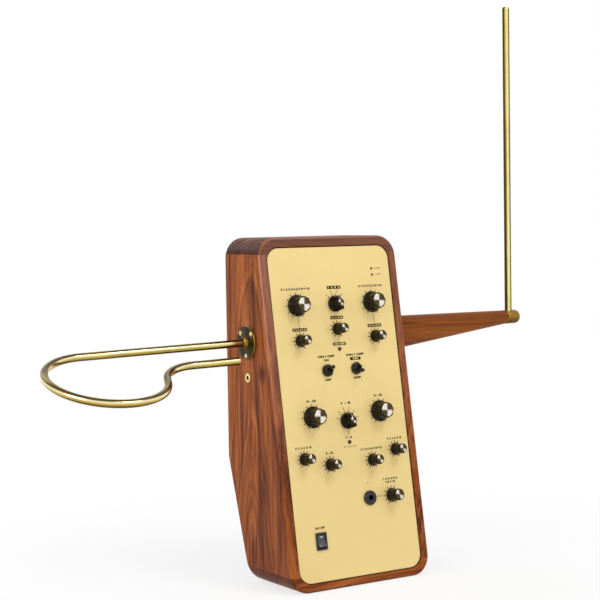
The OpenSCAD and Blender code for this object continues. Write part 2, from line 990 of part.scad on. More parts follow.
// Bent tube: a long leg, one large bend, a return bend and a short open leg
module volume_loop() {
    turn_back = loop_bend - 180;
    bend_r = tube_r + 0.02;
    lap = 0.9;
    bend_end = [loop_leg + loop_bend_r * sin(loop_bend), loop_bend_r * (1 - cos(loop_bend))];
    link_end = bend_end + loop_link * [cos(loop_bend), sin(loop_bend)];
    return_centre = link_end + return_r * [sin(loop_bend), -cos(loop_bend)];
    leg_y = return_centre[1] - return_r;
    color(brass)
    on_loop() {
        translate([-loop_insert + 0.5, 0, 0])
        rotate([0, 90, 0])
        cylinder(r = tube_r, h = loop_leg + loop_insert - 0.5 + lap);
        translate([loop_leg, loop_bend_r, 0])
        rotate(-90)
        rotate_extrude(angle = loop_bend)
        translate([loop_bend_r, 0])
        circle(r = bend_r);
        translate([bend_end[0], bend_end[1], 0])
        rotate([0, 90, loop_bend])
        translate([0, 0, -lap])
        cylinder(r = tube_r, h = loop_link + 2 * lap);
        translate([return_centre[0], return_centre[1], 0])
        rotate(-90)
        rotate_extrude(angle = turn_back)
        translate([return_r, 0])
        circle(r = bend_r);
        translate([loop_end_gap + 1, leg_y, 0])
        rotate([0, 90, 0])
        cylinder(r = tube_r, h = return_centre[0] - loop_end_gap - 1 + lap);
        translate([loop_end_gap, leg_y, 0])
        rotate([0, 90, 0])
        cylinder(r1 = tube_r - 1, r2 = tube_r, h = 1);
    }
}

module side_bushing() {
    color(brass)
    on_left(antenna_y, bushing_h)
    difference() {
        rotate_extrude()
        polygon([[0, -12], [4.5, -12], [4.5, 0], [5.75, 0], [5.75, 0.6], [5.2, 1.2], [0, 1.2]]);
        translate([0, 0, -10])
        cylinder(r = 2.6, h = 20);
    }
}

// ---- Pitch antenna ----

module arm_disc(x, y, z, r) {
    translate([x, antenna_y + y, z])
    rotate([0, 90, 0])
    cylinder(r = r, h = 0.5, $fn = 32);
}

// Tapered arm: a rounded oblong at the cabinet, round at the tip
module pitch_arm() {
    edge_r = 9;
    side = cabinet_w / 2;
    color(wood)
    difference() {
        hull() {
            for (sy = [-1, 1], sz = [-1, 1])
                arm_disc(side, sy * (arm_root_d / 2 - edge_r),
                    antenna_h + sz * (arm_root_h / 2 - edge_r), edge_r);
            arm_disc(cap_start - 0.5, 0, arm_tip_z, arm_tip_r);
        }
        arm_bolt_places()
        cylinder(r = 3 + fit_gap, h = side_t + 26);
        translate([cap_start - 15, antenna_y, arm_tip_z])
        rotate([0, 90, 0])
        cylinder(r = 6 + fit_gap, h = 20);
    }
}

module pitch_arm_bolts() {
    color(steel)
    arm_bolt_places() {
        translate([0, 0, -4])
        cylinder(r = 5, h = 4);
        cylinder(r = 3, h = side_t + 25);
    }
}

module pitch_arm_cap() {
    round_r = 6.5;
    color(brass)
    difference() {
        translate([0, antenna_y, arm_tip_z])
        rotate([0, 90, 0])
        rotate_extrude()
        polygon(concat(
            [[0, cap_start - 14.5], [6, cap_start - 14.5], [6, cap_start], [cap_r, cap_start]],
            [for (a = [0 : 15 : 90])
                [cap_r - round_r + round_r * cos(a), cap_end - round_r + round_r * sin(a)]],
            [[0, cap_end]]
        ));
        translate([rod_x, antenna_y, arm_tip_z + cap_r - rod_insert - 0.5])
        cylinder(r = tube_r + tube_running_gap, h = 40);
    }
}

module pitch_rod() {
    bottom = arm_tip_z + cap_r - rod_insert;
    round_r = 2.4;
    color(brass)
    translate([rod_x, antenna_y, bottom])
    rotate_extrude()
    polygon(concat(
        [[0, 0], [tube_r - 0.6, 0], [tube_r, 0.6]],
        [for (a = [0 : 15 : 90])
            [tube_r - round_r + round_r * cos(a), rod_len - round_r + round_r * sin(a)]],
        [[0, rod_len]]
    ));
}

// ---- Assembly ----

left_side_board();
right_side_board();
top_board();
bottom_board();
upper_back_panel();
rear_socket_panel();
back_battens();
corner_blocks();
back_screws();
front_plate();
plate_brackets();
main_circuit_board();
potentiometers();
rotary_switches();
push_switches();
toggle_switch(TOGGLES[0]);  // left_toggle_switch
toggle_switch(TOGGLES[1]);  // right_toggle_switch
toggle_lever(TOGGLES[0], toggle_throw);  // left_toggle_lever
toggle_lever(TOGGLES[1], -toggle_throw);  // right_toggle_lever
push_button(BUTTONS[0]);  // upper_push_button
push_button(BUTTONS[1]);  // lower_push_button
indicator(INDICATORS[0]);  // upper_indicator
indicator(INDICATORS[1]);  // lower_indicator
headphone_socket();
headphone_socket_nut();
power_switch_housing();
power_rocker();
rear_sockets();
rear_socket_board();
power_inlet();
volume_coil_board();
volume_coils();
pitch_coil_board();
pitch_coils();
coil_board_posts();
stand_socket();
stand_socket_screws();
volume_flange();
volume_flange_screws();
volume_set_screw();
volume_loop();
side_bushing();
pitch_arm();
pitch_arm_bolts();
pitch_arm_cap();
pitch_rod();
for (k = KNOBS)
    knob(k);
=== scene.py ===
import math

import bmesh
import bpy
from bpy.props import FloatProperty, FloatVectorProperty, IntProperty, PointerProperty
from bpy.types import Operator, Panel, PropertyGroup
from mathutils import Matrix, Vector


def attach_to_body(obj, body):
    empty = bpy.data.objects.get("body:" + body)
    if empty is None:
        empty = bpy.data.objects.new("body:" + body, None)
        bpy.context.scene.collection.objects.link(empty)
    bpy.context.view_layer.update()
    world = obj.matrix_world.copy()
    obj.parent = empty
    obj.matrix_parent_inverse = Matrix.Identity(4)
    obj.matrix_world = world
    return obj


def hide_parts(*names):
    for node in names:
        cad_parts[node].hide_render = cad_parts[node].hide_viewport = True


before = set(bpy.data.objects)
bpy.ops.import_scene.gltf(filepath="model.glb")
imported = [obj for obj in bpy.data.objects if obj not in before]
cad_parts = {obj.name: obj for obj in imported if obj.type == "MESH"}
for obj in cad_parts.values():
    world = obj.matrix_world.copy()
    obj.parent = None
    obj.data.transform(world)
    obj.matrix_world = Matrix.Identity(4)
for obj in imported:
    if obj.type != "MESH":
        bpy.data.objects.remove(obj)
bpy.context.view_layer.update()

bl_info = {
    "name": "Theremin finish",
    "version": (1, 0, 0),
    "blender": (4, 5, 0),
    "location": "View3D > Sidebar > Theremin",
    "description": "Finishes the pieces of a wooden theremin around its packed parts",
    "category": "Object",
}

MM = 0.001

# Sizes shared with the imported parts, in millimetres
CABINET_W = 206.0
CABINET_H = 424.0
BASE_DEPTH = 97.0
BACK_DEPTH = 144.0
KINK_H = 151.0
FRONT_LEAN = math.radians(9.4)
FRONT_Y = -BASE_DEPTH / 2
SIDE_T = 18.0
END_T = 20.0
PLATE_RECESS = 1.0
PLATE_BOTTOM = 10.8
PLATE_TOP = 12.0
PLATE_SIDE = 12.2
PLATE_W = CABINET_W - 2 * PLATE_SIDE
PLATE_H = CABINET_H / math.cos(FRONT_LEAN) - PLATE_TOP - PLATE_BOTTOM
PLATE_R = 17.0
RIM_ROUND = 2.6
BACK_SLOPE = math.atan((BACK_DEPTH - BASE_DEPTH) / KINK_H)
ANTENNA_Y = FRONT_Y + 94.5
ANTENNA_H = 296.4
BUSHING_H = 253.0
TUBE_R = 4.7625
LOOP_TILT = math.radians(17.25)
LOOP_DROOP = math.radians(1.0)
# Flange screws: where they stand round the hub and how their slots lie, in degrees
FLANGE_SCREW_RING = 16.4
FLANGE_SCREWS = ((-90, 20), (42, 75), (138, -35))
# The loop's centre line: inside the hub, leg, bend, link, return bend, and the gap at its end
LOOP_INSERT = 21.5
LOOP_LEG = 224.5
LOOP_BEND_R = 69.0
LOOP_BEND = 247.0
LOOP_LINK = 10.5
RETURN_R = 55.0
LOOP_END_GAP = 43.5
ARM_REACH = 211.0
ARM_ROOT_H = 44.3
ARM_TIP_R = 9.1
ARM_TIP_DROP = 1.4
ROD_X = CABINET_W / 2 + ARM_REACH
ROD_LEN = 425.5
ROD_INSERT = 15.5
CAP_R = 9.3
ARM_TIP_Z = ANTENNA_H + ARM_ROOT_H / 2 - ARM_TIP_DROP - ARM_TIP_R
SOCKET_BORE_R = 3.3
NUT_ACROSS = 14.0
REAR_ROW = 96
REAR_SOCKETS_X = (-48, -24, 0)
INLET_X = 46

# Round knobs: skirt, grip, disc and flute radii, and the depth of the flutes
KNOB_SIZES = {
    "large": (13.35, 10.3, 8.1, 4.4, 1.144),
    "medium": (8.7, 7.6, 6.1, 3.0, 0.78),
    "small": (7.8, 6.4, 4.9, 2.8, 0.728),
}
KNOB_TOP = 17.0
POINTER_TOP = 14.0
INDEX_REST = 205.0
# Pointer knobs: degrees between two positions, and how many positions each has
DETENT = 30.0
POSITIONS = {"register_knob": 4, "timbre_knob": 6}

# Controls on the plate, across from its middle and up from its lower edge
CONTROLS_X = 1.8
ANTENNA_COL = 56.0
TONE_COL = 50.0
TRIM_COL = 68.0
LOWER_TRIM_COL = 31.5
TOGGLE_COL = 21.6
ANTENNA_ROW = 335.0
RESPONSE_ROW = 291.6
TOGGLE_ROW = 253.2
TONE_ROW = 197.9
TRIM_ROW = 148.6
LOWER_TRIM_ROW = 138.6
HEADPHONE_ROW = 92.7
# Knob node: kind, place across and up the plate
KNOBS = {
    "volume_antenna_knob": ("large", CONTROLS_X - ANTENNA_COL, ANTENNA_ROW),
    "pitch_antenna_knob": ("large", CONTROLS_X + ANTENNA_COL, ANTENNA_ROW),
    "filter_knob": ("large", CONTROLS_X - TONE_COL, TONE_ROW),
    "delay_knob": ("large", CONTROLS_X + TONE_COL, TONE_ROW),
    "register_knob": ("pointer", CONTROLS_X, ANTENNA_ROW),
    "timbre_knob": ("pointer", CONTROLS_X, 189.8),
    "volume_response_knob": ("small", CONTROLS_X - ANTENNA_COL, RESPONSE_ROW),
    "pitch_response_knob": ("small", CONTROLS_X + ANTENNA_COL, RESPONSE_ROW),
    "quantise_knob": ("small", CONTROLS_X, 303.4),
    "brightness_knob": ("small", CONTROLS_X - TRIM_COL, TRIM_ROW),
    "wave_knob": ("small", CONTROLS_X - LOWER_TRIM_COL, LOWER_TRIM_ROW),
    "delay_feedback_knob": ("small", CONTROLS_X + LOWER_TRIM_COL, LOWER_TRIM_ROW),
    "delay_time_knob": ("small", CONTROLS_X + TRIM_COL, TRIM_ROW),
    "headphone_level_knob": ("medium", 56.6, HEADPHONE_ROW),
}
HEADPHONE_AT = (22.9, HEADPHONE_ROW)
POWER_AT = (-54.7, 48.8)
# Toggle switches: place across and up, and the lever's lean at rest in degrees
TOGGLES = {"left_toggle": (CONTROLS_X - TOGGLE_COL, TOGGLE_ROW, 13.0),
           "right_toggle": (CONTROLS_X + TOGGLE_COL, TOGGLE_ROW, -13.0)}
BUTTONS = {"upper_push_button": (CONTROLS_X, 278.7), "lower_push_button": (CONTROLS_X, 163.6)}
INDICATORS = {"upper_indicator": (63.0, 377.2), "lower_indicator": (63.0, 369.3)}

# Printed on the plate: words, centre across and up, width and height
PRINT_T = 0.05
LETTER_WEIGHT = 0.06
NUMBERS_R = 15.9
TEN = "0 1 2 3 4 5 6 7 8 9 10"
FIVE = "0  2  4  6  8  10"
SPAN = "0 - 10"
DARK_WORDS = [
    (TEN, -54.2, 355.3, 42.0, 3.0), (TEN, 57.9, 355.4, 36.0, 3.0),
    (SPAN, -48.2, 217.6, 13.6, 3.0), ("1 - 6", 2.2, 211.9, 14.5, 3.0),
    (SPAN, 51.8, 217.6, 12.5, 3.0), (FIVE, -66.4, 162.4, 23.5, 2.9),
    (SPAN, -29.8, 152.9, 10.5, 2.9), (TEN, 33.0, 152.6, 32.0, 2.9),
    (FIVE, 69.6, 162.4, 22.0, 2.9), ("1 2 3 4 5 6", 56.6, 113.2, 22.0, 2.9),
    ("7 8 9 10", 56.4, 109.0, 15.0, 2.9), ("ON / OFF", -19.6, 270.5, 25.0, 3.0),
    ("ON", -19.9, 265.9, 7.5, 2.9), ("OFF", -19.9, 241.6, 9.0, 2.9),
    ("ON / OFF", 23.6, 270.5, 27.0, 3.0), ("OFF", 23.6, 241.7, 12.0, 2.9),
    ("1 - 6", 1.6, 169.5, 9.6, 2.7), ("0 1 2 3 4 5", 1.6, 158.0, 19.0, 1.3),
    ("ON / OFF", -55.0, 64.8, 14.0, 2.9), ("1", 22.3, 110.9, None, 2.7),
    ("1 2 3", 72.6, 377.5, 6.4, 1.6), ("4 5 6", 73.0, 369.8, 6.4, 1.6),
]
LINE_W = 0.55
LINES = [
    (-54.1, 313.0, LINE_W, 12.4), (58.7, 313.0, LINE_W, 12.4), (2.4, 291.2, LINE_W, 7.0),
    (2.0, 176.0, LINE_W, 7.4), (37.6, 93.2, 7.4, LINE_W), (67.0, 377.2, 2.2, LINE_W),
    (67.2, 369.3, 2.4, LINE_W),
]
# Dark tabs, by centre across and up, width and height, and the words light on them
TABS = [(-53.8, 305.2, 21.0, 4.0), (58.4, 305.2, 21.0, 4.0), (2.6, 355.4, 20.6, 4.0),
        (2.2, 317.8, 19.0, 4.0), (2.4, 285.0, 19.0, 3.8), (23.8, 265.6, 16.0, 3.8)]
LIGHT_WORDS = [
    (FIVE, -53.8, 305.2, 17.5, 2.2), (FIVE, 58.4, 305.2, 17.5, 2.2),
    ("1  2  3  4", 2.6, 355.4, 17.0, 2.2), (FIVE, 2.2, 317.8, 15.5, 2.2),
    ("ON / OFF", 2.4, 285.0, 15.0, 2.1), ("ON", 23.8, 265.6, 8.0, 2.1),
]


# ---- Places ----

def plate_place(across, up, turn=0.0):
    """Frame on the plate's face in millimetres: x right, y up the slope, z out."""
    return (
        Matrix.Scale(MM, 4)
        @ Matrix.Translation((0, FRONT_Y, 0))
        @ Matrix.Rotation(-FRONT_LEAN, 4, "X")
        @ Matrix.Translation((across, PLATE_RECESS, PLATE_BOTTOM + up))
        @ Matrix.Rotation(math.radians(90), 4, "X")
        @ Matrix.Rotation(math.radians(turn), 4, "Z")
    )


def slant_place(across, up):
    """Frame on the sloping back: y up the slope, z out of the cabinet."""
    return (
        Matrix.Scale(MM, 4)
        @ Matrix.Translation((0, BASE_DEPTH / 2, 0))
        @ Matrix.Rotation(-BACK_SLOPE, 4, "X")
        @ Matrix.Translation((across, 0, up))
        @ Matrix.Rotation(math.pi, 4, "Y")
        @ Matrix.Rotation(math.radians(-90), 4, "X")
    )


def left_place(y, z):
    """Frame on the left side: x up, z out of the cabinet."""
    return (
        Matrix.Scale(MM, 4)
        @ Matrix.Translation((-CABINET_W / 2, y, z))
        @ Matrix.Rotation(math.radians(-90), 4, "Y")
    )


def upright_place(x, y, z):
    return Matrix.Scale(MM, 4) @ Matrix.Translation((x, y, z))


# ---- Node trees ----

class Value:
    """A node's output. Plain formulas with values add the nodes that work them out."""

    def __init__(self, socket):
        self.socket = socket
        self.tree = socket.id_data

    def __add__(self, other):
        return maths("ADD", self, other)

    def __sub__(self, other):
        return maths("SUBTRACT", self, other)

    def __mul__(self, other):
        return maths("MULTIPLY", self, other)

    def __truediv__(self, other):
        return maths("DIVIDE", self, other)

    def __rtruediv__(self, other):
        return maths("DIVIDE", other, self)


class Made:
    """A node in a tree. Its outputs are read as values, by name or number."""

    def __init__(self, node):
        self.node = node

    def __getitem__(self, key):
        return Value(self.node.outputs[key])


def drive(node, key, value):
    """Sets a node's input to a number or a colour, or links a value to it."""
    socket = node.inputs[key]
    if isinstance(value, Value):
        value.tree.links.new(value.socket, socket)
    elif socket.type == "RGBA" and len(value) == 3:
        socket.default_value = (*value, 1.0)
    else:
        socket.default_value = value


def put(tree, kind, values=None, **settings):
    """Adds a node with its settings and the values of its inputs."""
    node = tree.nodes.new(kind)
    for key, value in settings.items():
        setattr(node, key, value)
    for key, value in (values or {}).items():
        drive(node, key, value)
    return Made(node)


def maths(operation, *sides):
    """A Math node, or a Vector Math node where a side is a vector or a colour."""
    given = [side for side in sides if isinstance(side, Value)]
    tree, inputs = given[0].tree, dict(enumerate(sides))
    if any(side.socket.type in ("VECTOR", "RGBA") for side in given):
        made = put(tree, "ShaderNodeVectorMath", inputs, operation=operation)
        return made["Value" if operation in ("LENGTH", "DOT_PRODUCT") else "Vector"]
    return put(tree, "ShaderNodeMath", inputs, operation=operation)[0]


def noise(at, scale, detail=4.0, roughness=0.5, distortion=0.0, output="Fac"):
    made = put(at.tree, "ShaderNodeTexNoise", {
        "Vector": at, "Scale": scale, "Detail": detail,
        "Roughness": roughness, "Distortion": distortion})
    return made[output]


def ramp(value, stops):
    made = put(value.tree, "ShaderNodeValToRGB", {"Fac": value})
    elements = made.node.color_ramp.elements
    while len(elements) < len(stops):
        elements.new(0.5)
    for element, (position, colour) in zip(elements, stops):
        element.position = position
        element.color = (*colour, 1.0)
    return made["Color"]


def level(value, low, high, to_low=0.0, to_high=1.0):
    made = put(value.tree, "ShaderNodeMapRange", {
        "Value": value, "From Min": low, "From Max": high, "To Min": to_low, "To Max": to_high})
    return made["Result"]


def blend(share, a, b, mode="MIX"):
    """Mixes two colours by a share. One of the three is a value."""
    tree = next(side.tree for side in (share, a, b) if isinstance(side, Value))
    return put(tree, "ShaderNodeMix", {0: share, 6: a, 7: b}, data_type="RGBA",
               blend_type=mode)[2]


def tinted(share, colour, tint):
    return blend(share, colour, tint, "MULTIPLY")


def times(colour, factor):
    """A colour made darker or lighter, held at white."""
    return tuple(min(1.0, factor * c) for c in colour)


def new_finish(name, colour, **settings):
    """A material with one shader. Returns the material, its tree and the shader."""
    material = bpy.data.materials.new(name)
    material.use_nodes = True
    material.diffuse_color = (*colour, 1.0)
    shader = material.node_tree.nodes["Principled BSDF"]
    drive(shader, "Base Color", colour)
    for key, value in settings.items():
        drive(shader, key.replace("_", " "), value)
    return material, material.node_tree, shader


def raise_surface(shader, height, distance):
    """Drives the shader's normal with a height, in metres at its full swing."""
    bump = put(height.tree, "ShaderNodeBump", {"Height": height, "Distance": distance})
    drive(shader, "Normal", bump["Normal"])


def axes(vector):
    made = put(vector.tree, "ShaderNodeSeparateXYZ", {"Vector": vector})
    return made["X"], made["Y"], made["Z"]


def vector_of(tree, **parts):
    return put(tree, "ShaderNodeCombineXYZ", parts)[0]


def from_axis(at):
    """How far a point is from the upright axis."""
    return maths("LENGTH", at * (1, 1, 0))


def object_point(tree):
    return put(tree, "ShaderNodeTexCoord")["Object"]


def object_normal(tree):
    return put(tree, "ShaderNodeTexCoord")["Normal"]


def facing(tree, way):
    """How far the surface faces a way of the object, from -1 to 1."""
    return maths("DOT_PRODUCT", object_normal(tree), way)


def seen_rays(tree):
    """1 for rays that show the white background, and 0 for those that only light the object."""
    path = put(tree, "ShaderNodeLightPath")
    return maths("MAXIMUM", path["Is Camera Ray"],
                 maths("MAXIMUM", path["Is Glossy Ray"], path["Is Transmission Ray"]))


# ---- Finishes ----

def wood_finish(name, tones, grain, heart, taper=0.15, gloss=0.42, front=None, end=None,
                knot=None, wild=1.0):
    """Oiled walnut: growth rings round a tapering heart line, dark streaks, fibres and pores, and a
    painted sheen on the front.
    """
    material, tree, shader = new_finish(
        name, tones[1], Roughness=gloss, Specular_IOR_Level=0.08, Coat_Weight=0.06,
        Coat_Roughness=0.16)
    point = object_point(tree)
    along = {"X": (1, 0, 0), "Y": (0, 1, 0), "Z": (0, 0, 1)}[grain]
    slow_point, long_point, fibre_point = [
        point * tuple(share if a else 1.0 for a in along) for share in (0.3, 0.06, 0.012)]
    wander = noise(slow_point, 16.0, 3.0, output="Color") - (0.5, 0.5, 0.5)
    wander = wander * (0.034, 0.034, 0.034)
    offset = point - heart + wander
    radius = (maths("LENGTH", offset * tuple(1 - a for a in along))
              + maths("DOT_PRODUCT", offset, along) * taper)
    rings = noise(vector_of(tree, X=radius), 190.0, 2.5, 0.6)
    slow = noise(long_point, 34.0, 4.0, 0.6, 0.5)
    fibres = noise(fibre_point, 620.0, 4.0, 0.7)
    tone = rings * 0.46 + (slow * 0.32 + fibres * 0.24)
    colour = ramp(tone, list(zip((0.39, 0.46, 0.53, 0.63), tones)))
    patch = noise(slow_point * (0.9, 0.9, 0.5), 24.0, 3.0, 0.55)
    streak = noise(long_point, 120.0, 3.0, 0.6, 0.8)
    line = noise(fibre_point, 230.0, 3.0, 0.65)
    for field, low, high, tint in ((patch, 0.5, 0.72, (0.46, 0.36, 0.36)),
                                   (streak, 0.54, 0.68, (0.4, 0.32, 0.34)),
                                   (line, 0.52, 0.66, (0.46, 0.38, 0.4))):
        colour = tinted(level(field, low, high, 0.0, wild), colour, tint)
    pore = level(noise(fibre_point * (1, 1, 3), 2600.0, 2.0), 0.6, 0.7)
    colour = tinted(pore, colour, (0.55, 0.5, 0.5))
    if knot:
        near = (point - knot + wander * (0.5, 0.5, 0.5)) * (0.0, 90.0, 70.0)
        colour = tinted(level(maths("LENGTH", near), 1.0, 0.2), colour, (0.3, 0.24, 0.26))
    # Painted sheen and highlight: the leaning front takes the given colour, more so higher up, and
    # its rounded edge a paler painted highlight
    if front:
        high = level(axes(point)[2], 0.13, 0.36, 0.0, 0.66)
        ahead = facing(tree, (0, -math.cos(FRONT_LEAN), math.sin(FRONT_LEAN)))
        colour = blend(high * level(ahead, 0.75, 0.97), colour, front)
        painted_edge_highlight = level(ahead, 0.35, 0.6) * level(ahead, 0.96, 0.8)
        colour = blend(high * painted_edge_highlight, colour, times(front, 2.3))
    if end:
        share = level(maths("ABSOLUTE", facing(tree, along)), 0.45, 0.8)
        colour = tinted(share, colour, end)
    drive(shader, "Base Color", colour)
    drive(shader, "Roughness", level(fibres, 0.3, 0.7, gloss - 0.05, gloss + 0.12))
    raise_surface(shader, rings * 0.3 - pore, 0.00005)
    return material


def brass_finish(name, colour, roughness, tarnish, shade, way=None, tones=(), reflection_bands=None):
    """Drawn brass with fine wear and tarnish, and painted reflections in stripes along a way or
    round an upright.
    """
    material, tree, shader = new_finish(name, colour, Metallic=1.0, Roughness=roughness)
    point = object_point(tree)
    cloud = noise(point, 55.0, 4.0, 0.6)
    tone = blend(level(cloud, 0.42, 0.75, 0.0, tarnish), colour, shade)
    # Painted reflection: tones set by which way the surface faces stand in for the studio's light
    # and dark reflections
    if tones:
        if reflection_bands:
            count, turn = reflection_bands
            x, y, _ = axes(object_normal(tree))
            angle = maths("ARCTAN2", y, x) - math.radians(turn)
            turned = maths("COSINE", angle * float(count))
        else:
            turned = facing(tree, way)
        waver = (noise(point, 18.0) - 0.5) * 0.4
        tone = tinted(1.0, tone, ramp(level(turned + waver, -1.0, 1.0), tones))
    drive(shader, "Base Color", tone)
    wear = noise(point, 320.0, 3.0, 0.55)
    drive(shader, "Roughness", level(wear, 0.3, 0.75, roughness * 0.85, roughness * 1.4))
    raise_surface(shader, wear, 0.0000012)
    return material


def plate_finish(name, colour):
    """Satin metal sheet with a fine brushed grain running up the slope."""
    material, tree, shader = new_finish(name, colour, Metallic=0.25, Roughness=0.42)
    point = object_point(tree)
    brushed = noise(point * (1.0, 0.02, 0.02), 2400.0, 3.0, 0.6)
    tone = brushed * 0.5 + noise(point, 9.0, 3.0) * 0.5
    drive(shader, "Base Color",
          blend(level(tone, 0.35, 0.65), times(colour, 0.96), times(colour, 1.03)))
    drive(shader, "Roughness", level(brushed, 0.3, 0.7, 0.38, 0.47))
    raise_surface(shader, brushed, 0.000004)
    return material


def grained_finish(name, colour, roughness, grain, depth, metallic=0.0, specular=0.5):
    """Moulded or painted surface with a fine even grain and slight tone changes."""
    material, tree, shader = new_finish(name, colour, Metallic=metallic, Roughness=roughness,
                                        Specular_IOR_Level=specular)
    point = object_point(tree)
    cells = noise(point, grain * 2.0, 3.0, 0.6)
    cloud = noise(point, 60.0, 3.0)
    drive(shader, "Base Color",
          blend(level(cloud, 0.35, 0.7), times(colour, 0.8), times(colour, 1.2)))
    drive(shader, "Roughness",
          level(cells, 0.3, 0.7, roughness * 0.85, min(1.0, roughness * 1.25)))
    raise_surface(shader, cells, depth)
    return material


def spun_finish(name, colour, dark, roughness, narrow):
    """Face-turned metal disc: fine rings, and a painted reflection, light in two opposite sectors
    and dark between them.
    """
    material, tree, shader = new_finish(name, colour, Metallic=1.0, Roughness=roughness)
    own = put(tree, "ShaderNodeAttribute", attribute_name="own")["Vector"]
    x, y, _ = axes(own)
    rings = noise(vector_of(tree, X=from_axis(own)), 4.5, 3.0, 0.7)
    angle = maths("ARCTAN2", y, x) - math.radians(130)
    painted_sectors = maths("COSINE", angle * 2.0) + rings * 0.3
    light = level(painted_sectors, narrow - 0.1, narrow + 0.8)
    drive(shader, "Base Color", blend(light, dark, tinted(rings, colour, (0.8, 0.78, 0.76))))
    drive(shader, "Roughness", level(rings, 0.3, 0.7, roughness * 0.8, roughness * 1.3))
    raise_surface(shader, rings, 0.000012)
    return material


def ink_finish(name, colour):
    """Screen-printed ink, slightly uneven at its edges."""
    material, tree, shader = new_finish(name, colour, Roughness=0.55, Specular_IOR_Level=0.15)
    cloud = noise(object_point(tree), 700.0, 4.0, 0.6)
    drive(shader, "Base Color", blend(cloud, colour, times(colour, 1.9)))
    raise_surface(shader, cloud, 0.000004)
    return material


def lens_finish(name, colour):
    """Tinted clear plastic, darker where it turns away."""
    material, tree, shader = new_finish(name, colour, Roughness=0.12, IOR=1.5, Coat_Weight=0.4)
    away = put(tree, "ShaderNodeLayerWeight", {"Blend": 0.4})["Facing"]
    drive(shader, "Base Color", blend(away, colour, times(colour, 0.3)))
    raise_surface(shader, noise(object_point(tree), 300.0), 0.00001)
    return material


FINISHES = {}
# Painted reflections and highlights on the brass: tones from where its surface turns away from a
# way (0) to where it faces it (1)
TUBE_PAINTED_REFLECTION = [(0.0, (0.4, 0.34, 0.16)), (0.05, (0.12, 0.1, 0.04)), (0.21, (0.14, 0.12, 0.04)),
              (0.3, (0.5, 0.44, 0.18)), (0.44, (0.78, 0.72, 0.38)), (0.54, (1.0, 1.06, 1.0)),
              (0.62, (1.2, 1.35, 2.0)), (0.7, (1.1, 1.2, 1.6)), (0.77, (0.26, 0.23, 0.14)),
              (0.82, (0.12, 0.11, 0.07)), (0.93, (0.1, 0.09, 0.05)), (1.0, (0.4, 0.36, 0.2))]
ROD_PAINTED_REFLECTION = [(0.0, (0.1, 0.07, 0.04)), (0.35, (0.14, 0.13, 0.04)), (0.58, (0.34, 0.34, 0.12)),
             (0.75, (0.85, 0.92, 0.6)), (0.88, (1.12, 1.24, 1.3)), (1.0, (1.15, 1.3, 1.45))]
# Round the rod the painted reflection comes back this many times, from this angle in degrees
ROD_REFLECTION_BANDS = (3, -113.6)
# Painted light on the arm's end cap: lighter where it faces up and forward, darker below
CAP_PAINTED_LIGHT = [(0.0, (0.05, 0.03, 0.01)), (0.35, (0.08, 0.05, 0.015)), (0.6, (0.2, 0.145, 0.045)),
             (0.85, (0.41, 0.31, 0.13)), (1.0, (0.34, 0.26, 0.1))]
CAP_LIGHT_WAY = (-0.35, -0.6, 0.72)
# Painted highlight on the wall flange: its edges much brighter than its dark face
FLANGE_PAINTED_HIGHLIGHT = [(0.0, (9, 9, 9)), (0.75, (9, 9, 9)), (0.92, (1, 1, 1))]


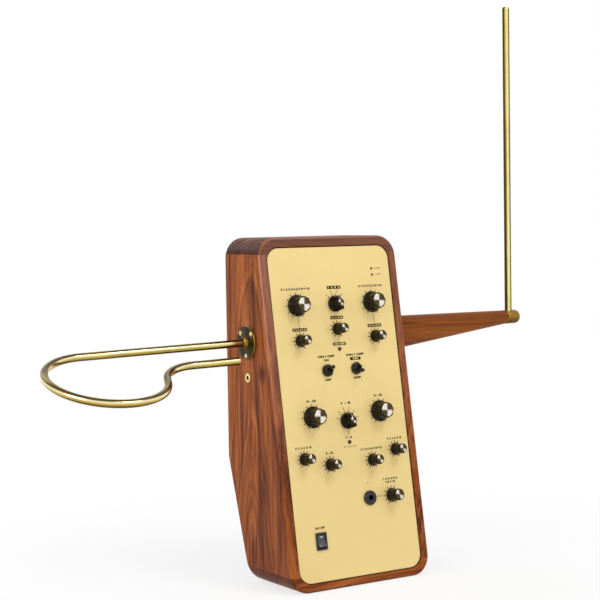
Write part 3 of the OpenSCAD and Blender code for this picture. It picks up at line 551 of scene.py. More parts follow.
def mix_finishes(props):
    """Every finish of the theremin, made once from the colours in the sidebar."""
    if FINISHES:
        return FINISHES
    wood, metal, trim = props.theremin_wood, props.theremin_metal, props.theremin_trim
    tones = [tuple(c) for c in (wood.dark, wood.middle, wood.light, wood.pale)]
    dull = [tuple(a * b for a, b in zip(t, wood.end_tint)) for t in tones]
    middle = tuple((a + b) / 2 for a, b in zip(tones[1], tones[2]))
    plain = [tuple(w * (0.45 * a + 0.55 * b) for a, b, w in zip(t, middle, wood.arm_tint))
             for t in tones]
    # Painted sheen: the leaning front of the boards takes this colour, paler on the left side,
    # where it stands for a highlight
    rim_sheen, cut = tuple(wood.rim_sheen), tuple(wood.end_grain)
    pale_rim_sheen = tuple(a * b for a, b in zip(rim_sheen, (1.5, 1.7, 1.85)))
    brass, shade = tuple(metal.brass), tuple(metal.brass_shade)
    shine = metal.brass_roughness
    disc, disc_dark = tuple(metal.disc), tuple(metal.disc_dark)
    FINISHES.update({
        "side_wood": wood_finish("side_wood", tones, "Z", (-0.078, 0.036, 0.17), front=pale_rim_sheen,
                                 knot=(-0.103, 0.0135, 0.2628)),
        "right_wood": wood_finish("right_wood", tones, "Z", (0.075, 0.02, 0.3), -0.13, front=rim_sheen),
        "back_wood": wood_finish("back_wood", tones, "Z", (0.02, 0.07, 0.25), 0.12),
        "top_wood": wood_finish("top_wood", dull, "X", (0.0, 0.03, 0.38), 0.1, front=rim_sheen, end=cut),
        "bottom_wood": wood_finish("bottom_wood", tones, "X", (0.0, 0.01, 0.05), 0.1, end=cut),
        "arm_wood": wood_finish("arm_wood", plain, "X", (0.2, 0.03, 0.25), 0.06, wild=0.35),
        "inner_wood": wood_finish("inner_wood", dull, "Z", (0.0, 0.0, 0.0), 0.1, 0.6),
        "plate": plate_finish("plate", tuple(metal.plate)),
        # The tube, rod, cap and flange carry painted reflections and highlights in their tones
        "tube": brass_finish("tube", brass, shine, 0.25, shade, (0, 0, 1), TUBE_PAINTED_REFLECTION),
        "rod": brass_finish("rod", brass, shine, 0.25, shade, None, ROD_PAINTED_REFLECTION, ROD_REFLECTION_BANDS),
        "cap": brass_finish("cap", brass, shine * 1.6, 0.5, shade, CAP_LIGHT_WAY, CAP_PAINTED_LIGHT),
        "brass": brass_finish("brass", brass, shine, 0.3, shade),
        "old_brass": brass_finish("old_brass", tuple(metal.old_brass), 0.3, 0.7,
                                  times(metal.old_brass, 0.4), (-1, 0, 0), FLANGE_PAINTED_HIGHLIGHT),
        "steel": grained_finish("steel", (0.55, 0.55, 0.56), 0.32, 200.0, 0.000008, 1.0),
        "large_disc": spun_finish("large_disc", disc, disc_dark, 0.26, -0.15),
        "small_disc": spun_finish("small_disc", disc, disc_dark, 0.26, 0.35),
        "knob": grained_finish("knob", tuple(trim.knob), 0.24, 500.0, 0.000012, specular=0.12),
        "ink": ink_finish("ink", tuple(trim.ink)),
        "mark": ink_finish("mark", (0.8, 0.8, 0.78)),
        "dim_mark": ink_finish("dim_mark", (0.26, 0.25, 0.22)),
        "black_metal": grained_finish("black_metal", (0.012, 0.01, 0.006), 0.26, 300.0,
                                      0.00001, specular=0.3),
        "socket": grained_finish("socket", (0.008, 0.009, 0.012), 0.3, 300.0, 0.00001),
        "rocker": grained_finish("rocker", tuple(trim.rocker), 0.3, 600.0, 0.00001),
        "button": grained_finish("button", (0.05, 0.028, 0.014), 0.28, 300.0, 0.00001),
        "lens": lens_finish("lens", (0.05, 0.022, 0.01)),
        "back_panel": grained_finish("back_panel", (0.018, 0.018, 0.02), 0.45, 900.0, 0.00004),
        "board": grained_finish("board", (0.01, 0.12, 0.05), 0.35, 200.0, 0.00001),
        "winding": grained_finish("winding", (0.35, 0.11, 0.03), 0.35, 1200.0, 0.00005, 0.6),
    })
    return FINISHES


# ---- Meshes ----

def linked(name, data):
    made = bpy.data.objects.new(name, data)
    bpy.context.collection.objects.link(made)
    return made


def as_mesh(shape, name):
    mesh = bpy.data.meshes.new(name)
    shape.to_mesh(mesh)
    shape.free()
    return mesh


def skin(shape, rows):
    """Faces between each closed row of points and the next."""
    for low, high in zip(rows, rows[1:]):
        for i in range(len(low)):
            k = (i + 1) % len(low)
            shape.faces.new((low[i], low[k], high[k], high[i]))


def lathe(profile, segments, ring=False):
    """Turned solid in millimetres. profile is (radius, height) pairs going up the outside;
    with ring=True the profile closes on itself and leaves a bore."""
    shape = bmesh.new()
    rows = []
    for radius, height in profile:
        if radius < 1e-6:
            rows.append([shape.verts.new((0, 0, height))])
            continue
        rows.append([
            shape.verts.new((radius * math.cos(a), radius * math.sin(a), height))
            for a in (2 * math.pi * i / segments for i in range(segments))])
    pairs = list(zip(rows, rows[1:]))
    if ring:
        pairs.append((rows[-1], rows[0]))
    for low, high in pairs:
        for i in range(segments):
            k = (i + 1) % segments
            if len(low) == 1 and len(high) == 1:
                break
            if len(low) == 1:
                shape.faces.new((low[0], high[k], high[i]))
            elif len(high) == 1:
                shape.faces.new((low[i], low[k], high[0]))
            else:
                shape.faces.new((low[i], low[k], high[k], high[i]))
    return shape


def rounded(points, radius, steps=3):
    """The profile with each inner corner turned into a small arc."""
    out = [points[0]]
    for before, corner, after in zip(points, points[1:], points[2:]):
        c = Vector(corner)
        a, b = Vector(before) - c, Vector(after) - c
        reach = min(radius, a.length * 0.45, b.length * 0.45)
        if reach < 1e-4 or a.angle(b) > math.radians(176):
            out.append(corner)
            continue
        p, q = c + a.normalized() * reach, c + b.normalized() * reach
        for i in range(steps + 1):
            t = i / steps
            out.append(tuple(p * (1 - t) ** 2 + c * 2 * t * (1 - t) + q * t ** 2))
    out.append(points[-1])
    return out


def prism(outline, low, high):
    """Straight solid over an outline, closed at both ends."""
    shape = bmesh.new()
    bottom = [shape.verts.new((x, y, low)) for x, y in outline]
    top = [shape.verts.new((x, y, high)) for x, y in outline]
    shape.faces.new(bottom[::-1])
    shape.faces.new(top)
    skin(shape, [bottom, top])
    return shape


def hexagon(across):
    """A hexagon's corners, from the width across its flats."""
    corner = across / 2 / math.cos(math.pi / 6)
    return [(corner * math.cos(math.radians(a)), corner * math.sin(math.radians(a)))
            for a in range(0, 360, 60)]


def rounded_outline(width, height, radius, steps):
    out = []
    for sx, sy, start in ((1, 1, 0), (-1, 1, 90), (-1, -1, 180), (1, -1, 270)):
        for i in range(steps + 1):
            a = math.radians(start + 90 * i / steps)
            out.append((sx * (width / 2 - radius) + radius * math.cos(a),
                        sy * (height / 2 - radius) + radius * math.sin(a)))
    return out


def lettering(words, x, up, wide, tall, low):
    """Flat raised characters in millimetres round a centre, fitted to a height and, where one
    is given, to a width."""
    data = bpy.data.curves.new("words", "FONT")
    data.body = words
    data.size = 1.0
    data.offset = LETTER_WEIGHT
    data.extrude = 0.5
    data.resolution_u = 3
    made = linked("words", data)
    depsgraph = bpy.context.evaluated_depsgraph_get()
    mesh = bpy.data.meshes.new_from_object(made.evaluated_get(depsgraph))
    bpy.data.objects.remove(made)
    bpy.data.curves.remove(data)
    shape = bmesh.new()
    shape.from_mesh(mesh)
    bpy.data.meshes.remove(mesh)
    for face in shape.faces:
        face.material_index = 0
    low_x, high_x = [pick(v.co.x for v in shape.verts) for pick in (min, max)]
    low_y, high_y = [pick(v.co.y for v in shape.verts) for pick in (min, max)]
    scale_y = tall / (high_y - low_y)
    scale_x = wide / (high_x - low_x) if wide else scale_y
    for vert in shape.verts:
        vert.co = (x + (vert.co.x - (low_x + high_x) / 2) * scale_x,
                   up + (vert.co.y - (low_y + high_y) / 2) * scale_y,
                   low + (PRINT_T if vert.co.z > 0 else 0.0))
    return shape


def merge(target, addition, place=None):
    """Adds one bmesh to another, placed by a matrix."""
    if place is not None:
        addition.transform(place)
    mesh = as_mesh(addition, "part")
    target.from_mesh(mesh)
    bpy.data.meshes.remove(mesh)


def settle(shape, name, place, finish, body, stands_for=(), angle=32.0, bevel=0.0,
           turned=False):
    """Turns a bmesh in millimetres into a finished piece in metres that rides on a body."""
    bmesh.ops.remove_doubles(shape, verts=shape.verts, dist=1e-5)
    bmesh.ops.recalc_face_normals(shape, faces=shape.faces)
    mesh = as_mesh(shape, name)
    piece = linked(name, mesh)
    mesh.materials.append(FINISHES[finish])
    if bevel:
        add_bevel(piece, bevel, 2, angle)
        freeze(piece)
    if turned:
        keep_own_place(piece.data)
    put_in_place(piece, place, body, stands_for, angle)


def put_in_place(piece, place, body, stands_for=(), angle=32.0):
    """Moves a piece made in millimetres to its place in metres, on its body."""
    piece.data.transform(place)
    shade(piece.data, angle)
    attach(piece, body, stands_for)


def attach(piece, body, stands_for):
    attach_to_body(piece, body)
    if stands_for:
        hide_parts(*stands_for)


def shade(mesh, angle):
    mesh.shade_smooth()
    mesh.set_sharp_from_angle(angle=math.radians(angle))


def keep_own_place(mesh):
    """Keeps each point's place in its own frame as an attribute."""
    own = mesh.attributes.new("own", "FLOAT_VECTOR", "POINT")
    for i, vert in enumerate(mesh.vertices):
        own.data[i].vector = vert.co


def add_bevel(piece, width, steps, angle):
    made = piece.modifiers.new("edges", "BEVEL")
    made.width = width
    made.segments = steps
    made.limit_method = "ANGLE"
    made.angle_limit = math.radians(angle)


def freeze(piece):
    """Applies the piece's modifiers and removes them."""
    depsgraph = bpy.context.evaluated_depsgraph_get()
    depsgraph.update()
    plain = bpy.data.meshes.new_from_object(piece.evaluated_get(depsgraph))
    plain.name = piece.name
    piece.modifiers.clear()
    old = piece.data
    piece.data = plain
    bpy.data.meshes.remove(old)
    return piece


def front_edges(shape, ways):
    """Edges between the leaning front and the outer faces that turn one of the ways."""
    front = Vector((0, -math.cos(FRONT_LEAN), math.sin(FRONT_LEAN)))
    chosen = []
    for edge in shape.edges:
        if len(edge.link_faces) != 2:
            continue
        face, side = sorted(edge.link_faces, key=lambda f: -f.normal.dot(front))
        middle = (edge.verts[0].co + edge.verts[1].co) / 2
        away = Vector((middle.x, 0, middle.z - CABINET_H * MM / 2))
        if (face.normal.dot(front) > 0.99 and abs(side.normal.dot(front)) < 0.4
                and side.normal.dot(away) > 0
                and max(side.normal.dot(way) for way in ways) > 0.3):
            chosen.append(edge)
    return chosen


def copy_of(node, name, finish, bevel=0.0, steps=2, angle=28.0, weighted=False, ways=()):
    """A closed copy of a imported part, with its loose triangles joined and its edges eased.
    Where the cabinet's outer faces turn one of the ways, their front edges are rounded."""
    shape = bmesh.new()
    shape.from_mesh(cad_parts[node].data)
    bmesh.ops.remove_doubles(shape, verts=shape.verts, dist=2e-6)
    bmesh.ops.dissolve_limit(shape, angle_limit=math.radians(0.4), verts=shape.verts,
                             edges=shape.edges)
    if ways:
        shape.normal_update()
        bmesh.ops.bevel(shape, geom=front_edges(shape, ways), offset=RIM_ROUND * MM,
                        segments=5, profile=0.5, affect="EDGES", clamp_overlap=True)
    mesh = as_mesh(shape, name)
    for key in list(mesh.attributes.keys()):
        if key.startswith("custom_normal"):
            mesh.attributes.remove(mesh.attributes[key])
    mesh.materials.clear()
    mesh.materials.append(FINISHES[finish])
    piece = linked(name, mesh)
    for face in mesh.polygons:
        face.material_index = 0
    if bevel:
        add_bevel(piece, bevel * MM, steps, angle)
        freeze(piece)
    shade(piece.data, angle)
    if weighted:
        piece.modifiers.new("flats", "WEIGHTED_NORMAL").keep_sharp = True
        freeze(piece)
    attach(piece, "cabinet", (node,))


# ---- Geometry Nodes ----

def new_tree(name, inputs):
    """A Geometry Nodes tree with a geometry input, named inputs and a geometry output."""
    tree = bpy.data.node_groups.new(name, "GeometryNodeTree")
    face = tree.interface
    face.new_socket("Geometry", in_out="INPUT", socket_type="NodeSocketGeometry")
    for key, default in inputs.items():
        kind = "NodeSocketInt" if isinstance(default, int) else "NodeSocketFloat"
        face.new_socket(key, in_out="INPUT", socket_type=kind).default_value = default
    face.new_socket("Geometry", in_out="OUTPUT", socket_type="NodeSocketGeometry")
    return tree, put(tree, "NodeGroupInput")


def end_tree(tree, geometry, finish):
    real = put(tree, "GeometryNodeRealizeInstances", {"Geometry": geometry})
    dressed = put(tree, "GeometryNodeSetMaterial", {
        "Geometry": real[0], "Material": FINISHES[finish]})
    put(tree, "NodeGroupOutput", {"Geometry": dressed[0]})
    return tree


def end_pulled_in(tree, given, at, cut, finish):
    """Ends a tree that pulls each point towards the upright axis by its own cut."""
    radius = from_axis(at)
    share = (radius - cut) / maths("MAXIMUM", radius, 0.001)
    moved = put(tree, "GeometryNodeSetPosition", {
        "Geometry": given["Geometry"], "Position": at * vector_of(tree, X=share, Y=share, Z=1.0)})
    return end_tree(tree, moved[0], finish)


def grow(name, mesh, tree, values):
    """Runs a tree on a mesh and returns the result as a plain object."""
    piece = linked(name, mesh)
    made = piece.modifiers.new("shape", "NODES")
    made.node_group = tree
    sockets = {s.name: s.identifier for s in tree.interface.items_tree
               if getattr(s, "in_out", "") == "INPUT"}
    for key, value in values.items():
        made[sockets[key]] = value
    return freeze(piece)


def flute_tree():
    """Cuts evenly spaced round-bottomed hollows up the grip of a turned knob."""
    tree, given = new_tree("flutes", {
        "Count": 8, "Depth": 1.1, "Flute": 4.4, "Grip": 10.0, "Low": 4.6, "Run in": 1.2,
        "Inner": 4.0})
    at = put(tree, "GeometryNodeInputPosition")[0]
    x, y, z = axes(at)
    step = 2 * math.pi / given["Count"]
    lobe = maths("FRACT", (maths("ARCTAN2", y, x) + 4 * math.pi) / step)
    angle = (lobe - 0.5) * step
    centre = given["Grip"] + given["Flute"] - given["Depth"]
    aside = centre * maths("SINE", angle)
    inside = given["Flute"] * given["Flute"] - aside * aside
    wall = centre * maths("COSINE", angle) - maths("SQRT", maths("MAXIMUM", inside, 0.0))
    radius = from_axis(at)
    cut = maths("MAXIMUM", radius - wall, 0.0) * maths("GREATER_THAN", inside, 0.0)
    climb = level((z - given["Low"]) / given["Run in"], 0.0, 1.0)
    cut = cut * climb * maths("GREATER_THAN", radius, given["Inner"])
    return end_pulled_in(tree, given, at, cut, "knob")


def thread_tree(finish):
    """Cuts a screw thread into a turned bushing."""
    tree, given = new_tree("thread_" + finish, {
        "Pitch": 0.7, "Depth": 0.18, "Low": 0.0, "High": 5.0, "Inner": 3.5})
    at = put(tree, "GeometryNodeInputPosition")[0]
    x, y, z = axes(at)
    phase = z * (2 * math.pi) / given["Pitch"] - maths("ARCTAN2", y, x)
    wave = level(maths("SINE", phase), -1.0, 1.0)
    inside = maths("GREATER_THAN", z, given["Low"]) * maths("LESS_THAN", z, given["High"])
    outside = maths("GREATER_THAN", from_axis(at), given["Inner"])
    cut = wave * given["Depth"] * (inside * outside)
    return end_pulled_in(tree, given, at, cut, finish)


def tick_tree():
    """Prints a fan of short marks round a control; the input mesh gives the centres."""
    tree, given = new_tree("tick_marks", {
        "Count": 11, "Radius": 16.0, "Length": 2.4, "Width": 0.45, "Sweep": 300.0,
        "Height": 0.06})
    line = put(tree, "GeometryNodeMeshLine", {"Count": given["Count"]}, mode="OFFSET")
    index = put(tree, "GeometryNodeInputIndex")[0]
    turn = (index / (given["Count"] - 1.0) - 0.5) * maths("RADIANS", given["Sweep"])
    reach = given["Radius"] + given["Length"] * 0.5
    spot = vector_of(tree, X=maths("SINE", turn) * reach, Y=maths("COSINE", turn) * reach)
    fan = put(tree, "GeometryNodeSetPosition", {"Geometry": line[0], "Position": spot})
    size = vector_of(tree, X=given["Width"], Y=given["Length"], Z=given["Height"])
    mark = put(tree, "GeometryNodeMeshCube", {"Size": size})
    marks = put(tree, "GeometryNodeInstanceOnPoints", {
        "Points": fan[0], "Instance": mark["Mesh"], "Rotation": vector_of(tree, Z=turn * -1.0)})
    solid = put(tree, "GeometryNodeRealizeInstances", {"Geometry": marks[0]})
    controls = put(tree, "GeometryNodeInstanceOnPoints", {
        "Points": given["Geometry"], "Instance": solid[0]})
    return end_tree(tree, controls[0], "ink")


def screw_tree(finish, slotted):
    """Sets a domed screw head with a slot or a cross at every point, turned by its own angle."""
    tree, given = new_tree("screws_" + finish + ("_slot" if slotted else "_cross"), {
        "Radius": 3.0, "Height": 1.6, "Slot": 0.7})
    ball = put(tree, "GeometryNodeMeshUVSphere", {
        "Segments": 40, "Rings": 20, "Radius": given["Radius"]})
    squash = vector_of(tree, X=1.0, Y=1.0, Z=given["Height"] / given["Radius"])
    head = put(tree, "GeometryNodeTransform", {"Geometry": ball["Mesh"], "Scale": squash})
    size = vector_of(tree, X=given["Radius"] * (3.0 if slotted else 1.1), Y=given["Slot"],
                     Z=given["Height"])
    lift = vector_of(tree, Z=given["Height"] * 0.9)
    for turn in ((0,) if slotted else (0, 90)):
        bar = put(tree, "GeometryNodeMeshCube", {"Size": size})
        cutter = put(tree, "GeometryNodeTransform", {
            "Geometry": bar["Mesh"], "Translation": lift,
            "Rotation": (0, 0, math.radians(turn))})
        head = put(tree, "GeometryNodeMeshBoolean", {"Mesh 1": head[0], "Mesh 2": cutter[0]},
                   operation="DIFFERENCE")
    turns = put(tree, "GeometryNodeInputNamedAttribute", {"Name": "turn"},
                data_type="FLOAT_VECTOR")
    screws = put(tree, "GeometryNodeInstanceOnPoints", {
        "Points": given["Geometry"], "Instance": head[0], "Rotation": turns["Attribute"]})
    return end_tree(tree, screws[0], finish)


def points_mesh(name, places):
    """A mesh of bare points in millimetres with each point's turn kept as an attribute."""
    mesh = bpy.data.meshes.new(name)
    mesh.from_pydata([tuple(m.to_translation()) for m in places], [], [])
    turn = mesh.attributes.new("turn", "FLOAT_VECTOR", "POINT")
    for i, m in enumerate(places):
        turn.data[i].vector = tuple(m.to_euler())
    return mesh


# ---- Settings ----

def colour_property(name, description, default):
    return FloatVectorProperty(name=name, description=description, subtype="COLOR", size=3,
                               default=default)


class ThereminWood(PropertyGroup):
    dark: colour_property("Dark streaks", "Colour of the darkest grain", (0.06, 0.016, 0.007))
    middle: colour_property("Middle tone", "Main colour of the boards", (0.225, 0.057, 0.013))
    light: colour_property("Light tone", "Colour between the streaks", (0.38, 0.1, 0.021))
    pale: colour_property("Pale tone", "Colour of the lightest grain", (0.54, 0.175, 0.044))
    # Painted sheen on the wood round the plate, from the studio's reflection
    rim_sheen: colour_property("Front rim", "Colour of the rim round the plate", (0.175, 0.075, 0.052))
    end_tint: FloatVectorProperty(name="Top board tint", description="Tint of the top board",
                                  size=3, default=(0.62, 0.7, 0.85))
    arm_tint: FloatVectorProperty(name="Arm tint", description="Tint of the arm",
                                  size=3, default=(0.84, 0.9, 0.7))
    end_grain: FloatVectorProperty(name="End grain tint", description="Tint of sawn ends",
                                   size=3, default=(0.5, 0.34, 0.22))


class ThereminMetal(PropertyGroup):
    plate: colour_property("Plate", "Colour of the control plate", (0.85, 0.645, 0.262))
    brass: colour_property("Brass", "Colour of the polished brass", (0.8, 0.64, 0.29))
    brass_shade: colour_property("Brass shade", "Colour of its tarnish", (0.5, 0.34, 0.12))
    brass_roughness: FloatProperty(name="Brass roughness", description="Sheen of the brass",
                                   default=0.16, min=0.02, max=1.0)
    old_brass: colour_property("Flange brass", "Colour of the wall flange", (0.05, 0.031, 0.005))
    # Painted reflection on the discs: light sectors in the first colour, dark sectors in the second
    disc: colour_property("Knob discs", "Colour of the knobs' discs", (0.95, 0.88, 0.78))
    disc_dark: colour_property("Disc shade", "Dark sectors of the discs", (0.085, 0.062, 0.026))


class ThereminTrim(PropertyGroup):
    knob: colour_property("Knobs", "Colour of the knobs", (0.013, 0.009, 0.004))
    ink: colour_property("Ink", "Colour of the printed marks", (0.014, 0.008, 0.002))
    rocker: colour_property("Rocker", "Colour of the power rocker", (0.05, 0.06, 0.075))
    flutes: IntProperty(name="Flutes", description="Flutes round a knob", default=8, min=4, max=24)
    flute_depth: FloatProperty(name="Flute depth", description="Share of the full depth",
                               default=1.0, min=0.1, max=1.5, subtype="FACTOR")
    tick_length: FloatProperty(name="Tick length", description="Length in millimetres",
                               default=2.0, min=0.5, max=5.0)
    tick_width: FloatProperty(name="Tick width", description="Width in millimetres",
                              default=1.15, min=0.1, max=2.0)


class ThereminStage(PropertyGroup):
    lens: FloatProperty(name="Lens", description="Focal length of the camera", default=95.695,
                        min=10.0, subtype="DISTANCE_CAMERA")
    white: FloatProperty(name="Background", description="Brightness of the background",
                         default=1.0, min=0.0, max=2.0)
    fill: FloatProperty(name="Fill", description="Light from all round", default=0.62, min=0.0,
                        max=2.0)
    key: FloatProperty(name="Key", description="Power of the main lamp in watts", default=17.5,
                       min=0.0, subtype="POWER")


# ---- Stage ----

# The camera's place in metres and its axes, as solved for the photograph
CAMERA_AT = (-1.113817, -1.617121, 0.453426)
CAMERA_RIGHT = (0.83616206, -0.5482672, -0.01536539)
CAMERA_UP = (0.0426112, 0.03700563, 0.99840616)
CAMERA_AHEAD = (0.54682474, 0.83548409, -0.05430503)
# Lamps: place and size in metres, and power as a share of the key lamp's
LAMPS = {"key": ((0.5, -1.25, 2.0), 0.8, 1.0), "side": ((-1.8, -0.5, 1.1), 0.9, 0.5),
         "back": ((-0.7, 1.6, 1.6), 1.0, 0.4)}
LAMPS_AIM = (0.0, 0.0, 0.28)
FLOOR_HALF = 12.0


class THEREMIN_OT_stage(Operator):
    """Makes the camera, the lamps, the background and the floor"""
    bl_idname = "theremin.stage"
    bl_label = "Stage"

    def execute(self, context):
        scene = context.scene
        settings = scene.theremin_stage
        scene.view_settings.view_transform = "Standard"
        data = bpy.data.cameras.new("camera")
        data.lens = settings.lens
        data.sensor_width = 36.0
        data.clip_start, data.clip_end = 0.05, 50.0
        camera = bpy.data.objects.new("camera", data)
        scene.collection.objects.link(camera)
        camera.matrix_world = Matrix((
            *[(r, u, -a, at) for r, u, a, at in zip(CAMERA_RIGHT, CAMERA_UP, CAMERA_AHEAD,
                                                    CAMERA_AT)],
            (0, 0, 0, 1)))
        scene.camera = camera
        self.background(scene, settings)
        self.floor(scene, settings)
        for name, (at, size, share) in LAMPS.items():
            self.lamp(scene, name, at, size, settings.key * share)
        return {"FINISHED"}

    def lamp(self, scene, name, at, size, power):
        data = bpy.data.lights.new(name, "AREA")
        data.shape = "SQUARE"
        data.size = size
        data.energy = power
        lamp = bpy.data.objects.new(name, data)
        scene.collection.objects.link(lamp)
        aim = Vector(LAMPS_AIM) - Vector(at)
        lamp.rotation_mode = "QUATERNION"
        lamp.rotation_quaternion = aim.to_track_quat("-Z", "Y")
        lamp.location = at

    def background(self, scene, settings):
        world = bpy.data.worlds.new("studio")
        scene.world = world
        world.use_nodes = True
        tree = world.node_tree
        shader = tree.nodes["Background"]
        drive(shader, "Color", (1, 1, 1))
        drive(shader, "Strength", level(seen_rays(tree), 0.0, 1.0, settings.fill, settings.white))

    def floor(self, scene, settings):
        """Pale floor: it fades to the background's white away from the object."""
        mesh = bpy.data.meshes.new("floor")
        corners = ((-1, -1), (1, -1), (1, 1), (-1, 1))
        mesh.from_pydata([(x * FLOOR_HALF, y * FLOOR_HALF, 0) for x, y in corners], [],
                         [(0, 1, 2, 3)])
        floor = bpy.data.objects.new("floor", mesh)
        scene.collection.objects.link(floor)
        material, tree, shader = new_finish("floor", (0.92, 0.92, 0.92), Roughness=0.9,
                                            Specular_IOR_Level=0.0)
        share = level(maths("LENGTH", object_point(tree)), 0.2, 0.7, 0.72, 1.0)
        glow = put(tree, "ShaderNodeEmission", {"Strength": settings.white})
        mixed = put(tree, "ShaderNodeMixShader", {
            0: share * seen_rays(tree), 1: Value(shader.outputs[0]), 2: glow[0]})
        drive(tree.nodes["Material Output"], "Surface", mixed[0])
        mesh.materials.append(material)


# ---- Cabinet ----

class THEREMIN_OT_cabinet(Operator):
    """Finishes the wooden boards of the cabinet"""
    bl_idname = "theremin.cabinet"
    bl_label = "Cabinet"

    def execute(self, context):
        mix_finishes(context.scene)
        left, right, up, down = [Vector(v) for v in (
            (-1, 0, 0), (1, 0, 0), (0, 0, 1), (0, 0, -1))]
        for node, name, finish, slot, ways in (
                ("left_side_board", "left_side", "side_wood", "red_brown_wood", (left,)),
                ("right_side_board", "right_side", "right_wood", "red_brown_wood", (right,)),
                ("top_board", "top", "top_wood", "dark_wood", (left, right, up)),
                ("bottom_board", "bottom", "bottom_wood", "dark_wood", (left, right, down)),
                ("upper_back_panel", "back_panel_wood", "back_wood", "red_brown_wood", ())):
            copy_of(node, name, finish, bevel=0.25, angle=30.0, weighted=True, ways=ways)
        copy_of("pitch_arm", "arm", "arm_wood", angle=40.0, weighted=True)
        return {"FINISHED"}


class THEREMIN_OT_inside(Operator):
    """Finishes the battens, boards and coils inside the cabinet"""
    bl_idname = "theremin.inside"
    bl_label = "Inside"

    def execute(self, context):
        mix_finishes(context.scene)
        for node, finish in (
                ("back_battens", "inner_wood"), ("corner_blocks", "inner_wood"),
                ("plate_brackets", "steel"), ("main_circuit_board", "board"),
                ("potentiometers", "steel"), ("rotary_switches", "steel"),
                ("push_switches", "black_metal"), ("rear_socket_board", "board"),
                ("volume_coil_board", "board"), ("pitch_coil_board", "board"),
                ("volume_coils", "winding"), ("pitch_coils", "winding"),
                ("coil_board_posts", "steel"), ("pitch_arm_bolts", "steel"),
                ("stand_socket_screws", "black_metal"), ("volume_set_screw", "steel")):
            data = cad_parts[node].data
            data.materials.clear()
            data.materials.append(FINISHES[finish])
        return {"FINISHED"}


# ---- Plate ----

class THEREMIN_OT_plate(Operator):
    """Finishes the control plate and prints its marks"""
    bl_idname = "theremin.plate"
    bl_label = "Control plate"

    def execute(self, context):
        mix_finishes(context.scene)
        trim = context.scene.theremin_trim
        copy_of("front_plate", "control_plate", "plate", bevel=0.2, angle=40.0,
                weighted=True)
        tree = tick_tree()
        long, short = trim.tick_length, 1.2 * trim.tick_length
        for kind, radius, length in (("large", 13.9, long), ("medium", 9.2, short),
                                     ("small", 8.3, short)):
            centres = [(x, up) for k, x, up in KNOBS.values() if k == kind]
            self.ticks(tree, "ticks_" + kind, centres, 11, radius, length, 300.0)
        for node, count in POSITIONS.items():
            self.ticks(tree, "ticks_" + node, [KNOBS[node][1:]], count, 10.9, long,
                       DETENT * (count - 1))
        self.print_lines_and_gap_shadow()
        self.print_numbers()
        return {"FINISHED"}

    def ticks(self, tree, name, centres, count, radius, length, sweep):
        places = [Matrix.Translation((x, up, 0.03)) for x, up in centres]
        piece = grow(name, points_mesh(name, places), tree, {
            "Count": count, "Radius": radius, "Length": length,
            "Width": bpy.context.scene.theremin_trim.tick_width, "Sweep": sweep})
        put_in_place(piece, plate_place(0, 0), "cabinet")

    def print_lines_and_gap_shadow(self):
        """Lines between controls, a painted shadow in the gap round the plate and the dark tabs, as
        one piece.
        """
        shape = bmesh.new()
        for bar in LINES:
            self.print_bar(shape, *bar, LINE_W * 0.4, 3)
        # A dark ring stands for the shadow in the gap round the plate
        self.painted_gap_shadow(shape)
        for tab in TABS:
            self.print_bar(shape, *tab, 0.7, 4)
        settle(shape, "printed_lines_and_gap_shadow", plate_place(0, 0), "ink", "cabinet")

    def print_bar(self, shape, x, up, wide, high, radius, steps):
        merge(shape, prism(rounded_outline(wide, high, radius, steps), 0.0, PRINT_T),
              Matrix.Translation((x, up, 0)))

    def painted_gap_shadow(self, shape):
        """Painted shadow: a dark ring round the plate's edge, in the gap to the boards."""
        rows = []
        for grow_by, z in ((-0.8, -0.1), (-0.8, 0.05), (0.58, 0.05), (0.58, -0.1)):
            outline = rounded_outline(PLATE_W + 2 * grow_by, PLATE_H + 2 * grow_by,
                                      PLATE_R + grow_by, 24)
            rows.append([shape.verts.new((x, PLATE_H / 2 + y, z)) for x, y in outline])
        skin(shape, rows + rows[:1])

    def print_numbers(self):
        """Plain scale numbers and switch words, dark on the plate and light on the tabs."""
        dark, light = bmesh.new(), bmesh.new()
        for words, x, up, wide, tall in DARK_WORDS:
            merge(dark, lettering(words, x, up, wide, tall, 0.0))
        for node, count in POSITIONS.items():
            _, x, up = KNOBS[node]
            for i in range(count):
                turn = math.radians(DETENT * (i - (count - 1) / 2))
                merge(dark, lettering(str(i + 1), x + NUMBERS_R * math.sin(turn),
                                      up + NUMBERS_R * math.cos(turn), None, 2.1, 0.0))
        for words, x, up, wide, tall in LIGHT_WORDS:
            merge(light, lettering(words, x, up, wide, tall, PRINT_T))
        for shape, name, finish, slot in ((dark, "dark_numbers", "ink", "black_plastic"),
                                          (light, "light_numbers", "plate", "gold_plate")):
            settle(shape, name, plate_place(0, 0), finish, "cabinet")


# ---- Knobs ----

